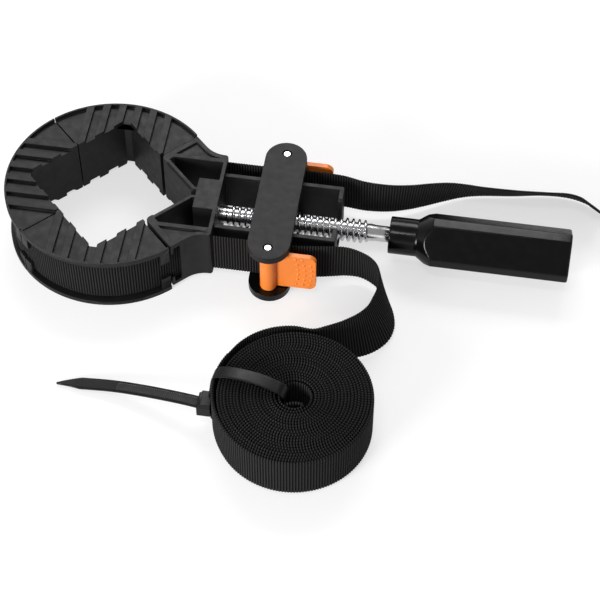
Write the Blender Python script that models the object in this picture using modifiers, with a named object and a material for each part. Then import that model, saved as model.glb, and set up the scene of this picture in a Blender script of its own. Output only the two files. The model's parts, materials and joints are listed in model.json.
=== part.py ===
"""Corner band clamp with three loose corner pads, a main jaw and a screw tensioner.

The webbing band runs round the pads and through the jaw. Both of its ends are gripped by
cam levers on a crosshead, and the screw draws the crosshead away from the jaw.
+X runs along the screw toward the handle, +Z is up, z = 0 is the table. Metres.
"""
import math

import bmesh
import bpy
from mathutils import Matrix, Vector

# Fits
GAP = 0.0003            # between pieces that touch
SLACK = 0.0004          # between pieces that slide on each other
BORE_CLEAR = 0.0005     # round the screw where it passes the nut's housing
JOIN = 0.0010           # shapes that are joined run this far into each other
PAST = 0.0010           # a cut reaches this far past the face that it opens

# Band
BAND_W = 0.025
BAND_T = 0.0012

# Heights, from the table up
PLATE_T = 0.0040
MID_Z = PLATE_T + GAP + BAND_W / 2      # the screw's axis and the band's middle
BAND_LOW = MID_Z - BAND_W / 2
BAND_HIGH = MID_Z + BAND_W / 2
HEAD_HIGH = 2 * MID_Z
FLANGE = 0.0027         # pad's top and bottom flanges, with the band between them
PAD_H = BAND_HIGH + SLACK + FLANGE
JAW_SIDE = 0.0026       # the jaw stands this far over and under the band
JAW_LOW = BAND_LOW - JAW_SIDE
JAW_HIGH = BAND_HIGH + JAW_SIDE
RAIL_SET = 0.0012       # the rails stand this far inside the band's edges
RAIL_LOW = BAND_LOW + RAIL_SET
RAIL_HIGH = BAND_HIGH - RAIL_SET

# Screw, nut and core
THREAD_R = 0.0059
SHANK_R = 0.0040
TIP_R = 0.0042
TIP_CONE = 0.0012
NUT_FLATS = 0.0190
NUT_LONG = 0.0120
NUT_R = NUT_FLATS / math.sqrt(3)        # to the nut's corners
CORE_WALL = 0.0034
CORE_END = 0.0022       # wall before and behind the nut
CORE_HALF = NUT_LONG / 2 + GAP + CORE_END

# Widths, from the screw's axis out to the rivets
RAIL_T = 0.0023
RAIL_INNER = NUT_R + 2 * GAP + CORE_WALL + SLACK
RAIL_HALF = RAIL_INNER + RAIL_T
ANVIL_T = 0.0050
ANVIL_HALF = 0.0080
ANVIL_CUT = 0.0016      # the anvil's face is eased this much where the band meets it
BRIDGE_HALF = 0.0060
BAND_Y = RAIL_HALF + SLACK + ANVIL_T + GAP + BAND_T / 2
CAM_REACH = 0.0055      # from the rivet's middle to the teeth that grip the band
RIVET_Y = BAND_Y + BAND_T / 2 + GAP + CAM_REACH
RIVET_R = 0.0021
PLATE_HALF_W = 0.01045
PLATE_END = 0.0072      # from the rivet's middle to the plate's end
PLATE_HALF_L = RIVET_Y + PLATE_END
UPPER_ROUND = 0.0013    # the upper plate's rim is eased, the lower one's nearly half round
LOWER_ROUND = 0.0019

# Cam levers
BARREL_R = 0.00415
CAM_TEETH = 9
TOOTH = 0.0005
TAB_END = 0.0244        # from the rivet to the lever's tip
TAB_ROUND = 0.0032
TAB_SET = 0.0009        # the tab lies this far toward the band from the rivet
LEVER_T = 0.0024

# Ring of pads and jaw
HALF_DIAGONAL = 0.0420  # from the ring's centre to the corner of the clamped square
PAD_DEEP = 0.0104       # from that corner to the ring's rim
RING_R = HALF_DIAGONAL + PAD_DEEP
CORNER_FLAT = 0.0017    # half of the flat that takes off a pad's inner corner
SEAM = 0.00025          # each pad stands this far off the seam between two pads
JAW_SEAM = 0.00075      # the jaw stands this far off its seams with the pads
SLATS = 6
SLAT_PITCH = 0.00806
SLAT_W = 0.0038
SLAT_DEPTH = 0.0019
RIM = 0.0010            # width of the rim that closes the grooves at their outer end
LIP_LONG = 0.0050       # lips at a pad's ends hold the band in its channel
LIP_TALL = 0.0105
LIP_SET = 0.0002

# Jaw
SKIN_T = 0.0013         # the cheek's wall outside the band
SKIN_R = 0.0140         # radius of the hollow cheeks
JAW_HALF = BAND_Y + BAND_T / 2 + GAP + SKIN_T
WALL = 0.0024
CHEEK_Y = JAW_HALF + SKIN_R
CHEEK_X = math.sqrt(2) * (RING_R - 0.0004 + SKIN_R) - CHEEK_Y
JAW_BACK = CHEEK_X + 0.0019             # outer face of the jaw's rear wall
REAR_T = 0.0020
RELIEF = 0.00185        # half width of the square relief in the V's corner
RELIEF_T = 0.00155      # wall beside that relief
LEDGE_T = 0.0008        # the V walls are stepped down this far in along their tops
LEDGE_DEEP = 0.0015
LEDGE_SHORT = 0.0035    # the step ends this far from the V's tip
RECESS_DEEP = 0.0012
MOUTH_FROM = 0.0022     # the cheek's skin is open from here on beside the seam
MOUTH_LONG = 0.0040
BLOCK_FRONT = HALF_DIAGONAL + 0.0010
BLOCK_HALF = 0.0096
BEAM_INNER = BAND_Y - 0.0028
BEAM_OUTER = BEAM_INNER + WALL

# Lengths, from the jaw back to the handle's end
HEAD_X = JAW_BACK + 0.0289              # the crosshead's middle
FRAME_LONG = 0.0599
FRAME_END = JAW_BACK + FRAME_LONG
NOTCH_R = THREAD_R + 0.0026
TIP_START = JAW_BACK - 0.0055
THREAD_START = JAW_BACK + 0.0024
THREAD_LONG = 0.0745
THREAD_END = THREAD_START + THREAD_LONG
NECK = 0.0080           # bare shank between thread and handle
HANDLE_START = THREAD_END + NECK
SHANK_IN = 0.0345       # the shank's length inside the handle
SHANK_END = HANDLE_START + SHANK_IN
HANDLE_LONG = 0.0890
COLLAR_R = 0.00925
COLLAR_LONG = 0.0138
CROWN_START = 0.0222    # where the grip reaches its full size
GRIP_FLATS = 0.0240
GRIP_CHAMFER = 0.0050
GRIP_ROLL = math.radians(43)

# Spare band, coiled beside the clamp, and the cable tie that holds the coil
TIE_W = 0.0065
TIE_T = 0.0011
TIE_ARCH = 0.0034       # the strap stands this far off the roll halfway over it
TIE_IN = 0.0041         # from the roll's middle to the strap inside its hole
COIL_R = 0.0374
COIL_HOLE = 0.0105
COIL_BACK = 0.0713      # from the screw's axis to the coil
COIL_ALONG = 0.0250     # from the crosshead to the coil's middle
COIL = Vector((HEAD_X + COIL_ALONG, -COIL_BACK - COIL_R))
COIL_LOW = TIE_T + SLACK
COIL_HIGH = COIL_LOW + BAND_W
COIL_MID = COIL_LOW + BAND_W / 2


def collection(name):
    found = bpy.data.collections.new(name)
    bpy.context.scene.collection.children.link(found)
    return found


for old in list(bpy.data.objects):
    bpy.data.objects.remove(old, do_unlink=True)
PARTS = collection("band_clamp")
CUTTERS = collection("cutters")


def material(name, colour, roughness, metallic=0.0):
    made = bpy.data.materials.new(name)
    made.use_nodes = True
    shader = made.node_tree.nodes["Principled BSDF"]
    shader.inputs["Base Color"].default_value = (*colour, 1.0)
    shader.inputs["Roughness"].default_value = roughness
    shader.inputs["Metallic"].default_value = metallic
    made.diffuse_color = (*colour, 1.0)
    return made


BLACK = material("black_nylon", (0.030, 0.030, 0.032), 0.55)
GLOSS = material("gloss_black", (0.012, 0.012, 0.013), 0.22)
ORANGE = material("orange_nylon", (0.90, 0.20, 0.035), 0.42)
STEEL = material("bright_zinc", (0.78, 0.79, 0.80), 0.25, 1.0)
WEBBING = material("black_webbing", (0.018, 0.018, 0.019), 0.85)
TIE = material("tie_nylon", (0.020, 0.020, 0.021), 0.40)


def add_object(name, mesh, look=None):
    made = bpy.data.objects.new(name, mesh)
    PARTS.objects.link(made)
    if look:
        mesh.materials.clear()
        mesh.materials.append(look)
    return made


def evaluated_mesh(obj):
    bpy.context.view_layer.update()
    seen = obj.evaluated_get(bpy.context.evaluated_depsgraph_get())
    return bpy.data.meshes.new_from_object(seen)


def weld(mesh, distance=1e-6):
    work = bmesh.new()
    work.from_mesh(mesh)
    bmesh.ops.remove_doubles(work, verts=work.verts, dist=distance)
    bmesh.ops.recalc_face_normals(work, faces=work.faces)
    work.to_mesh(mesh)
    work.free()
    return mesh


def slab(name, outlines, low, high, look=None):
    """A flat outline, with any holes as further outlines, extruded from low to high."""
    curve = bpy.data.curves.new(name, "CURVE")
    curve.dimensions = "2D"
    curve.fill_mode = "BOTH"
    curve.extrude = (high - low) / 2
    for outline in outlines:
        spline = curve.splines.new("POLY")
        spline.points.add(len(outline) - 1)
        for point, (x, y) in zip(spline.points, outline):
            point.co = (x, y, 0.0, 1.0)
        spline.use_cyclic_u = True
    holder = bpy.data.objects.new(name + "_outline", curve)
    CUTTERS.objects.link(holder)
    mesh = weld(evaluated_mesh(holder))
    mesh.transform(Matrix.Translation((0, 0, (low + high) / 2)))
    bpy.data.objects.remove(holder, do_unlink=True)
    bpy.data.curves.remove(curve)
    mesh.name = name
    return add_object(name, mesh, look)


# Turns a slab drawn in (y, z) and extruded along z into one extruded along x
ALONG_X = Matrix(((0, 0, 1, 0), (1, 0, 0, 0), (0, 1, 0, 0), (0, 0, 0, 1)))
# Turns a slab drawn in (x, z) and extruded along z into one extruded along -y
ALONG_Y = Matrix(((1, 0, 0, 0), (0, 0, -1, 0), (0, 1, 0, 0), (0, 0, 0, 1)))


def turned(name, profile, steps, look):
    """A profile of (radius, height), outer side from top to bottom, turned about Z."""
    mesh = bpy.data.meshes.new(name)
    points = [(radius, 0.0, height) for radius, height in profile]
    closed = [] if profile[0][0] == 0 else [(len(points) - 1, 0)]
    mesh.from_pydata(points, [(k, k + 1) for k in range(len(points) - 1)] + closed, [])
    made = add_object(name, mesh, look)
    screw = made.modifiers.new("turn", "SCREW")
    screw.steps = steps
    screw.render_steps = steps
    screw.use_merge_vertices = True
    screw.merge_threshold = 0.00001
    return made


def box(name, low, high, look=None):
    work = bmesh.new()
    bmesh.ops.create_cube(work, size=1.0)
    size = Vector(high) - Vector(low)
    middle = (Vector(high) + Vector(low)) / 2
    bmesh.ops.transform(work, matrix=Matrix.LocRotScale(middle, None, size), verts=work.verts)
    mesh = bpy.data.meshes.new(name)
    work.to_mesh(mesh)
    work.free()
    return add_object(name, mesh, look)


def boolean(target, tool, operation="DIFFERENCE"):
    """Cuts, joins or trims the target with the tool, which becomes a hidden cutter."""
    step = target.modifiers.new(tool.name, "BOOLEAN")
    step.operation = operation
    step.object = tool
    step.solver = "EXACT"
    tool.hide_render = True
    tool.display_type = "WIRE"
    PARTS.objects.unlink(tool)
    CUTTERS.objects.link(tool)


def bevel(obj, width, segments=1, angle=40):
    step = obj.modifiers.new("edges", "BEVEL")
    step.width = width
    step.segments = segments
    step.limit_method = "ANGLE"
    step.angle_limit = math.radians(angle)


def freeze(obj):
    """Keeps the result of an object's modifiers as its mesh."""
    mesh = evaluated_mesh(obj)
    obj.modifiers.clear()
    obj.data = mesh
    return obj


def smooth(obj, angle=35):
    obj.data.shade_smooth()
    obj.data.set_sharp_from_angle(angle=math.radians(angle))
    return obj


def arc(x, y, radius, start, end, count):
    """Points on an arc, angles in degrees, both ends included."""
    turns = [math.radians(start + (end - start) * k / count) for k in range(count + 1)]
    return [(x + radius * math.cos(t), y + radius * math.sin(t)) for t in turns]


def circle(x, y, radius, count=32):
    return arc(x, y, radius, 0, 360 - 360 / count, count - 1)


def mirrored(outline):
    """A half outline above the X axis, closed by its mirror image below it."""
    return outline + [(x, -y) for x, y in reversed(outline)]


def flipped(outline):
    return [(x, -y) for x, y in outline]


# The band runs round the ring on BAND_R, leaves it at 45 degrees and bends round the cheeks
BAND_BEND = CHEEK_Y - BAND_Y
BAND_R = (CHEEK_X + CHEEK_Y) / math.sqrt(2) - BAND_BEND
CHANNEL_R = BAND_R - BAND_T / 2 - GAP


def rim_point(y):
    """Where a groove's side at height y in plan meets the pad's rim."""
    return (math.sqrt((RING_R - RIM) ** 2 - y ** 2), y)


def groove_outlines():
    """The lowered parts of a pad's face: between the slats, and outside the last ones."""
    inner = HALF_DIAGONAL / 3
    outlines = []
    for row in range(SLATS - 1):
        middle = (row - (SLATS - 2) / 2) * SLAT_PITCH
        low, high = middle - (SLAT_PITCH - SLAT_W) / 2, middle + (SLAT_PITCH - SLAT_W) / 2
        outlines.append([(inner, low), rim_point(low), rim_point(middle), rim_point(high), (inner, high)])
    last = (SLATS - 1) / 2 * SLAT_PITCH + SLAT_W / 2
    top = (RING_R - RIM) * math.sqrt(0.5) + 2 * SEAM
    steps = [rim_point(last + (top - last) * k / 4) for k in range(5)]
    end = [(inner, last)] + steps + [(inner, top)]
    return outlines + [end, flipped(end)]


def pad_mesh():
    """A corner pad with its corner pointing to +X, as it lies in the ring."""
    off = SEAM * math.sqrt(2)
    end = 45 - math.degrees(SEAM / RING_R)
    half = [(HALF_DIAGONAL - CORNER_FLAT, CORNER_FLAT)]
    half += [((HALF_DIAGONAL + off) / 2, (HALF_DIAGONAL - off) / 2)]
    half += arc(0, 0, RING_R, end, 3, 14)
    whole = half + [(RING_R, 0.0)] + [(x, -y) for x, y in reversed(half)]
    pad = slab("pad", [whole], 0.0, PAD_H, BLACK)
    beyond = RING_R + LIP_LONG
    square = [(-beyond, -beyond), (beyond, -beyond), (beyond, beyond), (-beyond, beyond)]
    ring = [square, circle(0, 0, CHANNEL_R, 96)]
    boolean(pad, slab("pad_channel", ring, FLANGE, PAD_H - FLANGE))
    reach = math.degrees(LIP_LONG / RING_R)
    behind = BAND_R + BAND_T / 2 + GAP
    short = 0.1
    lip = arc(0, 0, RING_R - LIP_SET, end - short, end - reach, 3)
    lip += arc(0, 0, behind, end - reach, end - short, 3)
    for side, outline in (("left", lip), ("right", flipped(lip))):
        low, high = FLANGE / 2, PAD_H - FLANGE / 2
        boolean(pad, slab("lip_high_" + side, [outline], PAD_H - LIP_TALL, high), "UNION")
        boolean(pad, slab("lip_low_" + side, [outline], low, LIP_TALL), "UNION")
    for outline in groove_outlines():
        boolean(pad, slab("groove_high", [outline], PAD_H - SLAT_DEPTH, PAD_H + PAST))
        boolean(pad, slab("groove_low", [outline], -PAST, SLAT_DEPTH))
    mesh = freeze(pad).data
    bpy.data.objects.remove(pad, do_unlink=True)
    return mesh


def make_pads():
    """Three pads share one mesh. Their corners point away from the ring's centre."""
    mesh = pad_mesh()
    for name, turn in (("pad_back", 90), ("pad_far", 180), ("pad_front", 270)):
        pad = add_object(name, mesh)
        pad.rotation_euler.z = math.radians(turn)


# Where the cheek's skin would meet the ring's 45 degree line, and how far it runs straight there
SKIN_SUM = CHEEK_X + CHEEK_Y - math.sqrt(2) * SKIN_R
SKIN_FLAT = (CHEEK_X - CHEEK_Y) / math.sqrt(2)


def jaw_outline():
    """The jaw in plan: cheeks, seams that meet the pads, and a V with a relieved corner."""
    off = JAW_SEAM * math.sqrt(2)
    corner = 0.0015
    tip = 0.0025
    tip_x = (HALF_DIAGONAL + off) / 2 + tip * math.sqrt(2)
    tip_y = (HALF_DIAGONAL - off) / 2
    half = arc(JAW_BACK - corner, JAW_HALF - corner, corner, 0, 90, 4)
    half += arc(CHEEK_X, CHEEK_Y, SKIN_R, -90, -135, 10)
    half += [((SKIN_SUM + off) / 2, (SKIN_SUM - off) / 2)]
    half += arc(tip_x, tip_y, tip, 135, 225, 6)
    half += [(HALF_DIAGONAL - RELIEF, RELIEF), (BLOCK_FRONT, RELIEF)]
    return mirrored(half)


def jaw_pocket():
    """The deep pocket between the V wall, the beam, the rear wall and the block."""
    wall = HALF_DIAGONAL + WALL * math.sqrt(2)
    low = RELIEF + RELIEF_T
    cut = 0.0020
    back = JAW_BACK - REAR_T
    return [
        (back, BLOCK_HALF),
        (back, BEAM_INNER),
        (wall - BEAM_INNER + 2 * cut, BEAM_INNER),
        (wall - BEAM_INNER + cut, BEAM_INNER - cut),
        (wall - low, low),
        (BLOCK_FRONT, low),
        (BLOCK_FRONT, BLOCK_HALF),
    ]


def cheek_recess():
    """The shallow three-cornered recess outside the beam, a wall's width from the seam."""
    share = 0.6
    inside = arc(CHEEK_X, CHEEK_Y, SKIN_R + WALL, -94, -135, 6)
    end = Vector(inside[-1])
    far = end + Vector((-1, 1)) / math.sqrt(2) * (SKIN_FLAT * share)
    start = BEAM_OUTER + far.x - far.y
    return [(start, BEAM_OUTER), (inside[0][0], BEAM_OUTER)] + inside + [tuple(far)]


def band_tunnel():
    """The slot that the band takes through a cheek, open at the seam and at the rear."""
    half = BAND_T / 2 + GAP
    beyond = 0.003
    past = JAW_BACK + beyond
    step = Vector((-1, 1)) / math.sqrt(2) * (SKIN_FLAT + beyond)
    outer = arc(CHEEK_X, CHEEK_Y, BAND_BEND - half, -90, -135, 8)
    inner = arc(CHEEK_X, CHEEK_Y, BAND_BEND + half, -135, -90, 8)
    ends = [tuple(Vector(end) + step) for end in (outer[-1], inner[0])]
    return [(past, BAND_Y + half)] + outer + ends + inner + [(past, BAND_Y - half)]


def mouth(start, end):
    """Part of a cheek's skin beside the seam, measured along the skin from its corner."""
    corner = Vector((SKIN_SUM / 2, SKIN_SUM / 2))
    along = Vector((1, -1)) / math.sqrt(2)
    out = Vector((1, 1)) / math.sqrt(2)
    deep = SKIN_T + GAP
    clear = 0.004
    spots = ((start, -deep), (end, -deep), (end, clear), (start, clear))
    return [tuple(corner + along * a + out * b) for a, b in spots]


def ledge():
    """The step along the top of a V wall."""
    low, high = RELIEF, HALF_DIAGONAL / 2 - LEDGE_SHORT
    spots = ((-PAST, low), (-PAST, high), (LEDGE_T, high), (LEDGE_T, low))
    return [(HALF_DIAGONAL - y + x, y) for x, y in spots]


def make_rails(jaw):
    """Two rails and the rear wall, with the notch that the screw passes."""
    back = FRAME_END - RAIL_T
    start = JAW_BACK - JOIN
    round_end = 0.0010
    half = [(start, RAIL_INNER), (start, RAIL_HALF)]
    half += arc(FRAME_END - round_end, RAIL_HALF - round_end, round_end, 90, 0, 3)
    rails = half + flipped(list(reversed(half))) + [(back, -RAIL_INNER), (back, RAIL_INNER)]
    boolean(jaw, slab("rails", [rails], RAIL_LOW, RAIL_HIGH), "UNION")
    flare = 0.0024
    over = 0.0012
    notch = arc(0, MID_Z, NOTCH_R, 180, 360, 16)
    notch += [(NOTCH_R, RAIL_HIGH - over), (NOTCH_R + flare, RAIL_HIGH + over)]
    notch += [(-NOTCH_R - flare, RAIL_HIGH + over), (-NOTCH_R, RAIL_HIGH - over)]
    cut = slab("notch", [notch], back - PAST, FRAME_END + PAST)
    cut.matrix_world = ALONG_X
    boolean(jaw, cut)


def make_frame():
    """Jaw, rails and rear wall, moulded as one."""
    pocket = jaw_pocket()
    jaw = slab("frame_jaw", [jaw_outline(), pocket, flipped(pocket)], JAW_LOW, JAW_HIGH, BLACK)
    make_rails(jaw)
    mouth_end = JAW_BACK + PAST
    hole = circle(0, MID_Z, TIP_R + GAP, 24)
    socket = slab("thrust_socket", [hole], TIP_START - GAP, mouth_end)
    socket.matrix_world = ALONG_X
    boolean(jaw, socket)
    low, high = BAND_LOW - GAP, BAND_HIGH + GAP
    nub = 0.0040
    for name, turn in (("back", list), ("front", flipped)):
        boolean(jaw, slab("tunnel_" + name, [turn(band_tunnel())], low, high))
        wide = [turn(mouth(MOUTH_FROM, MOUTH_FROM + MOUTH_LONG))]
        boolean(jaw, slab("mouth_" + name, wide, low, high))
        short = [turn(mouth(-PAST, MOUTH_FROM + GAP))]
        boolean(jaw, slab("mouth_end_" + name, short, low + nub, high - nub))
        steps = (("recess", cheek_recess(), RECESS_DEEP), ("ledge", ledge(), LEDGE_DEEP))
        for shape, outline, deep in steps:
            outline = turn(outline)
            boolean(jaw, slab(f"{shape}_top_{name}", [outline], JAW_HIGH - deep, JAW_HIGH + PAST))
            boolean(jaw, slab(f"{shape}_low_{name}", [outline], JAW_LOW - PAST, JAW_LOW + deep))


def stadium():
    """A crosshead plate in plan, long along Y with round ends."""
    far = PLATE_HALF_L - PLATE_HALF_W
    near_end = arc(HEAD_X, far, PLATE_HALF_W, 0, 180, 18)
    return near_end + arc(HEAD_X, -far, PLATE_HALF_W, 180, 360, 18)


def rounded_plate(name, low, high, rounding):
    """A crosshead plate with a rounded rim and a crisp hole for each rivet."""
    plate = slab(name, [stadium()], low, high, BLACK)
    bevel(plate, rounding, 3, 60)
    for side in (1, -1):
        hole = circle(HEAD_X, side * RIVET_Y, RIVET_R + GAP, 24)
        boolean(plate, slab("rivet_hole", [hole], low - PAST, high + PAST))


def make_core():
    """The nut's housing inside the rails, and an anvil outside each rail that the band lies on."""
    inner = RAIL_INNER - SLACK
    near = RAIL_HALF + SLACK
    far = near + ANVIL_T
    foot, top = PLATE_T + GAP, HEAD_HIGH - PLATE_T - GAP
    core = box("crosshead_core", (HEAD_X - CORE_HALF, -inner, foot), (HEAD_X + CORE_HALF, inner, top), BLACK)
    out = near + JOIN
    for name, low, high in (("low", foot, RAIL_LOW - SLACK), ("high", RAIL_HIGH + SLACK, top)):
        bridge = box("bridge_" + name, (HEAD_X - BRIDGE_HALF, -out, low), (HEAD_X + BRIDGE_HALF, out, high))
        boolean(core, bridge, "UNION")
    eased = ANVIL_HALF - ANVIL_CUT
    anvil = [(HEAD_X - ANVIL_HALF, near), (HEAD_X + ANVIL_HALF, near)]
    anvil += [(HEAD_X + ANVIL_HALF, far - ANVIL_CUT), (HEAD_X + eased, far)]
    anvil += [(HEAD_X - eased, far), (HEAD_X - ANVIL_HALF, far - ANVIL_CUT)]
    boolean(core, slab("anvil_back", [anvil], foot, top), "UNION")
    boolean(core, slab("anvil_front", [flipped(anvil)], foot, top), "UNION")
    wide = NUT_R + 2 * GAP
    long = NUT_LONG / 2 + GAP
    floor = MID_Z - NUT_FLATS / 2 - GAP
    boolean(core, box("nut_pocket", (HEAD_X - long, -wide, floor), (HEAD_X + long, wide, top + PAST)))
    ends = (HEAD_X - CORE_HALF - PAST, HEAD_X + CORE_HALF + PAST)
    bore = slab("screw_bore", [circle(0, MID_Z, THREAD_R + BORE_CLEAR, 32)], *ends)
    bore.matrix_world = ALONG_X
    boolean(core, bore)


def make_crosshead():
    """Two equal plates, the core between them, the nut, and the rivets that the levers turn on."""
    rounded_plate("crosshead_plate_lower", 0.0, PLATE_T, LOWER_ROUND)
    rounded_plate("crosshead_plate_upper", HEAD_HIGH - PLATE_T, HEAD_HIGH, UPPER_ROUND)
    make_core()
    hexagon = arc(0, MID_Z, NUT_R, 0, 300, 5)
    hole = circle(0, MID_Z, THREAD_R + GAP, 32)
    nut = slab("nut", [hexagon, hole], HEAD_X - NUT_LONG / 2, HEAD_X + NUT_LONG / 2, STEEL)
    nut.matrix_world = ALONG_X
    inset = 0.0002
    cone = 0.0005
    tall = HEAD_HIGH - inset
    profile = [(0, tall), (RIVET_R - cone, tall), (RIVET_R, tall - cone)]
    profile += [(RIVET_R, inset + cone), (RIVET_R - cone, inset), (0, inset)]
    for name, y in (("rivet_back", RIVET_Y), ("rivet_front", -RIVET_Y)):
        rivet = turned(name, profile, 20, STEEL)
        rivet.location = (HEAD_X, y, 0)


def lever_outline():
    """The lever in plan about its rivet, with the band toward +Y and the tab toward +X.

    The barrel swells into a toothed cam that grips the band."""
    cam = []
    first, last = 40, 150
    spread = 0.8
    for k in range(2 * CAM_TEETH + 1):
        angle = first + (last - first) * k / (2 * CAM_TEETH)
        swell = math.cos(math.radians(angle - 90) * spread) ** 2
        radius = BARREL_R + (CAM_REACH - BARREL_R) * swell - TOOTH * (k % 2)
        turn = math.radians(angle)
        cam.append((radius * math.cos(turn), radius * math.sin(turn)))
    return cam + arc(0, 0, BARREL_R, last + 10, first + 350, 20)


def lever_tab(name, low, high):
    """The finger tab, drawn in (x, z) with round outer corners."""
    start = RIVET_R + 2 * GAP
    mid = TAB_END - TAB_ROUND
    outline = [(start, low)] + arc(mid, low + TAB_ROUND, TAB_ROUND, -90, 0, 6)
    outline += arc(mid, high - TAB_ROUND, TAB_ROUND, 0, 90, 6) + [(start, high)]
    tab = slab(name + "_tab", [outline], -LEVER_T / 2, LEVER_T / 2)
    bevel(tab, 0.0005, 2)
    freeze(tab).data.transform(Matrix.Translation((0, TAB_SET, 0)) @ ALONG_Y)
    return tab


def make_lever(name, side):
    """A cam lever on the crosshead's rivet. Side is 1 at the back and -1 at the front."""
    ends = 0.0001
    low, high = BAND_LOW + ends, BAND_HIGH - ends
    eye = circle(0, 0, RIVET_R + GAP, 24)
    lever = slab(name, [lever_outline(), eye], low, high, ORANGE)
    inset = 0.0004
    boolean(lever, lever_tab(name, low + inset, high - inset), "UNION")
    freeze(lever)
    if side > 0:
        lever.data.transform(Matrix.Scale(-1, 4, (0, 1, 0)))
        lever.data.flip_normals()
    lever.location = (HEAD_X, side * RIVET_Y, 0)


def make_spindle():
    """The screw, plain at its thread's outer diameter, with a thrust tip and a shank."""
    end = SHANK_END - TIP_START
    thread_end = THREAD_END - TIP_START
    thread_start = THREAD_START - TIP_START
    cone = 0.0006
    step = THREAD_R - TIP_R
    profile = [(0, end), (SHANK_R - cone, end), (SHANK_R, end - cone), (SHANK_R, thread_end)]
    profile += [(THREAD_R, thread_end - TIP_CONE), (THREAD_R, thread_start)]
    profile += [(TIP_R, thread_start - step), (TIP_R, TIP_CONE), (TIP_R - TIP_CONE, 0), (0, 0)]
    screw = turned("spindle", profile, 32, STEEL)
    screw.location = (TIP_START, 0, MID_Z)
    screw.rotation_euler.y = math.pi / 2


def make_handle():
    """A turned grip blank trimmed by a square bar with chamfered corners."""
    edge = 0.0006
    crown = math.sqrt(2) * GRIP_FLATS / 2 - GRIP_CHAMFER / 2 + edge
    bore = SHANK_R + GAP
    deep = SHANK_IN + GAP
    end = 0.0011
    profile = [(0, HANDLE_LONG), (crown - end, HANDLE_LONG), (crown, HANDLE_LONG - end)]
    profile += [(crown, CROWN_START), (COLLAR_R, COLLAR_LONG), (COLLAR_R, edge)]
    profile += [(COLLAR_R - edge, 0), (bore, 0), (bore, deep), (0, deep)]
    grip = turned("handle", profile, 48, GLOSS)
    grip.location = (HANDLE_START, 0, MID_Z)
    grip.rotation_euler.y = math.pi / 2
    flat = GRIP_FLATS / 2
    leg = flat - GRIP_CHAMFER / math.sqrt(2)
    corners = [(flat, leg), (leg, flat), (-leg, flat), (-flat, leg)]
    corners += [(-x, -y) for x, y in corners]
    turn = Matrix.Rotation(GRIP_ROLL, 2)
    bar = [tuple(turn @ Vector(corner)) for corner in corners]
    prism = slab("grip_bar", [bar], -PAST, HANDLE_LONG + PAST)
    prism.parent = grip
    boolean(grip, prism, "INTERSECT")


def ruled_band(name, stations, thickness, look):
    """A strip through stations of (middle, width vector), with its thickness about it."""
    work = bmesh.new()
    rows = [(work.verts.new(m - w / 2), work.verts.new(m + w / 2)) for m, w in stations]
    for one, two in zip(rows, rows[1:]):
        work.faces.new((one[0], two[0], two[1], one[1]))
    mesh = bpy.data.meshes.new(name)
    work.to_mesh(mesh)
    work.free()
    strip = add_object(name, mesh, look)
    step = strip.modifiers.new("cloth", "SOLIDIFY")
    step.thickness = thickness
    step.offset = 0.0
    step.use_even_offset = True
    return strip


def spline(knots, count):
    """A smooth route through the knots, with count steps between each two."""
    knots = [Vector(knot) for knot in knots]
    ends = [2 * knots[0] - knots[1]] + knots + [2 * knots[-1] - knots[-2]]
    route = []
    for a, b, c, d in zip(ends, ends[1:], ends[2:], ends[3:]):
        for k in range(count):
            t = k / count
            curve = 2 * b + (c - a) * t + (2 * a - 5 * b + 4 * c - d) * t * t
            route.append((curve + (3 * b - a - 3 * c + d) * t * t * t) / 2)
    return route + [knots[-1]]


def upright(points):
    """Stations of a band that stands on edge along a route in plan."""
    up = Vector((0, 0, BAND_W))
    return [(Vector((x, y, MID_Z)), up) for x, y in points]


def leaning(route):
    """Stations from (x, y, lift, lean in degrees), leaning square to the route.

    Lift is the height of the lower edge. A positive lean tips the top edge toward -Y."""
    stations = []
    for k, (x, y, lift, lean) in enumerate(route):
        after, before = route[min(k + 1, len(route) - 1)], route[max(k - 1, 0)]
        along = Vector((after[0] - before[0], after[1] - before[1], 0)).normalized()
        side = along.cross(Vector((0, 0, 1)))
        tilt = math.radians(lean)
        width = (Vector((0, 0, math.cos(tilt))) + side * math.sin(tilt)) * BAND_W
        stations.append((Vector((x, y, lift + width.z / 2)), width))
    return stations


def make_ring_band():
    """The band's run from cam to cam round the ring and through both cheeks."""
    run = HEAD_X - CHEEK_X
    half = [(HEAD_X - run * k / 3, BAND_Y) for k in range(3)]
    half += arc(CHEEK_X, CHEEK_Y, BAND_BEND, -90, -135, 6)
    half += arc(0, 0, BAND_R, 45, 180, 36)
    ruled_band("band_loop", upright(half + flipped(list(reversed(half)))[1:]), BAND_T, WEBBING)


def make_tail():
    """The free tail: distances from the crosshead and from the band's line, lift and lean."""
    free = [
        (GAP, 0, BAND_LOW, 0), (0.014, 0.0004, BAND_LOW, 0), (0.029, 0.0007, 0.0040, 2),
        (0.041, -0.0006, 0.0036, 5), (0.053, 0.0004, 0.0030, 8), (0.063, 0.0033, 0.0023, 11),
        (0.072, 0.0071, 0.0017, 14), (0.081, 0.0109, 0.0012, 19), (0.090, 0.0137, 0.0010, 26),
        (0.099, 0.0153, 0.0009, 31), (0.116, 0.0171, 0.0009, 35), (0.130, 0.0192, 0.0009, 38),
        (0.142, 0.0198, 0.0008, 37), (0.151, 0.0172, 0.0008, 36), (0.1575, 0.0120, 0.0008, 36),
    ]
    route = [(HEAD_X + x, BAND_Y + y, lift, lean) for x, y, lift, lean in free]
    ruled_band("band_tail", leaning(spline(route, 3)), BAND_T, WEBBING)


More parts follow.
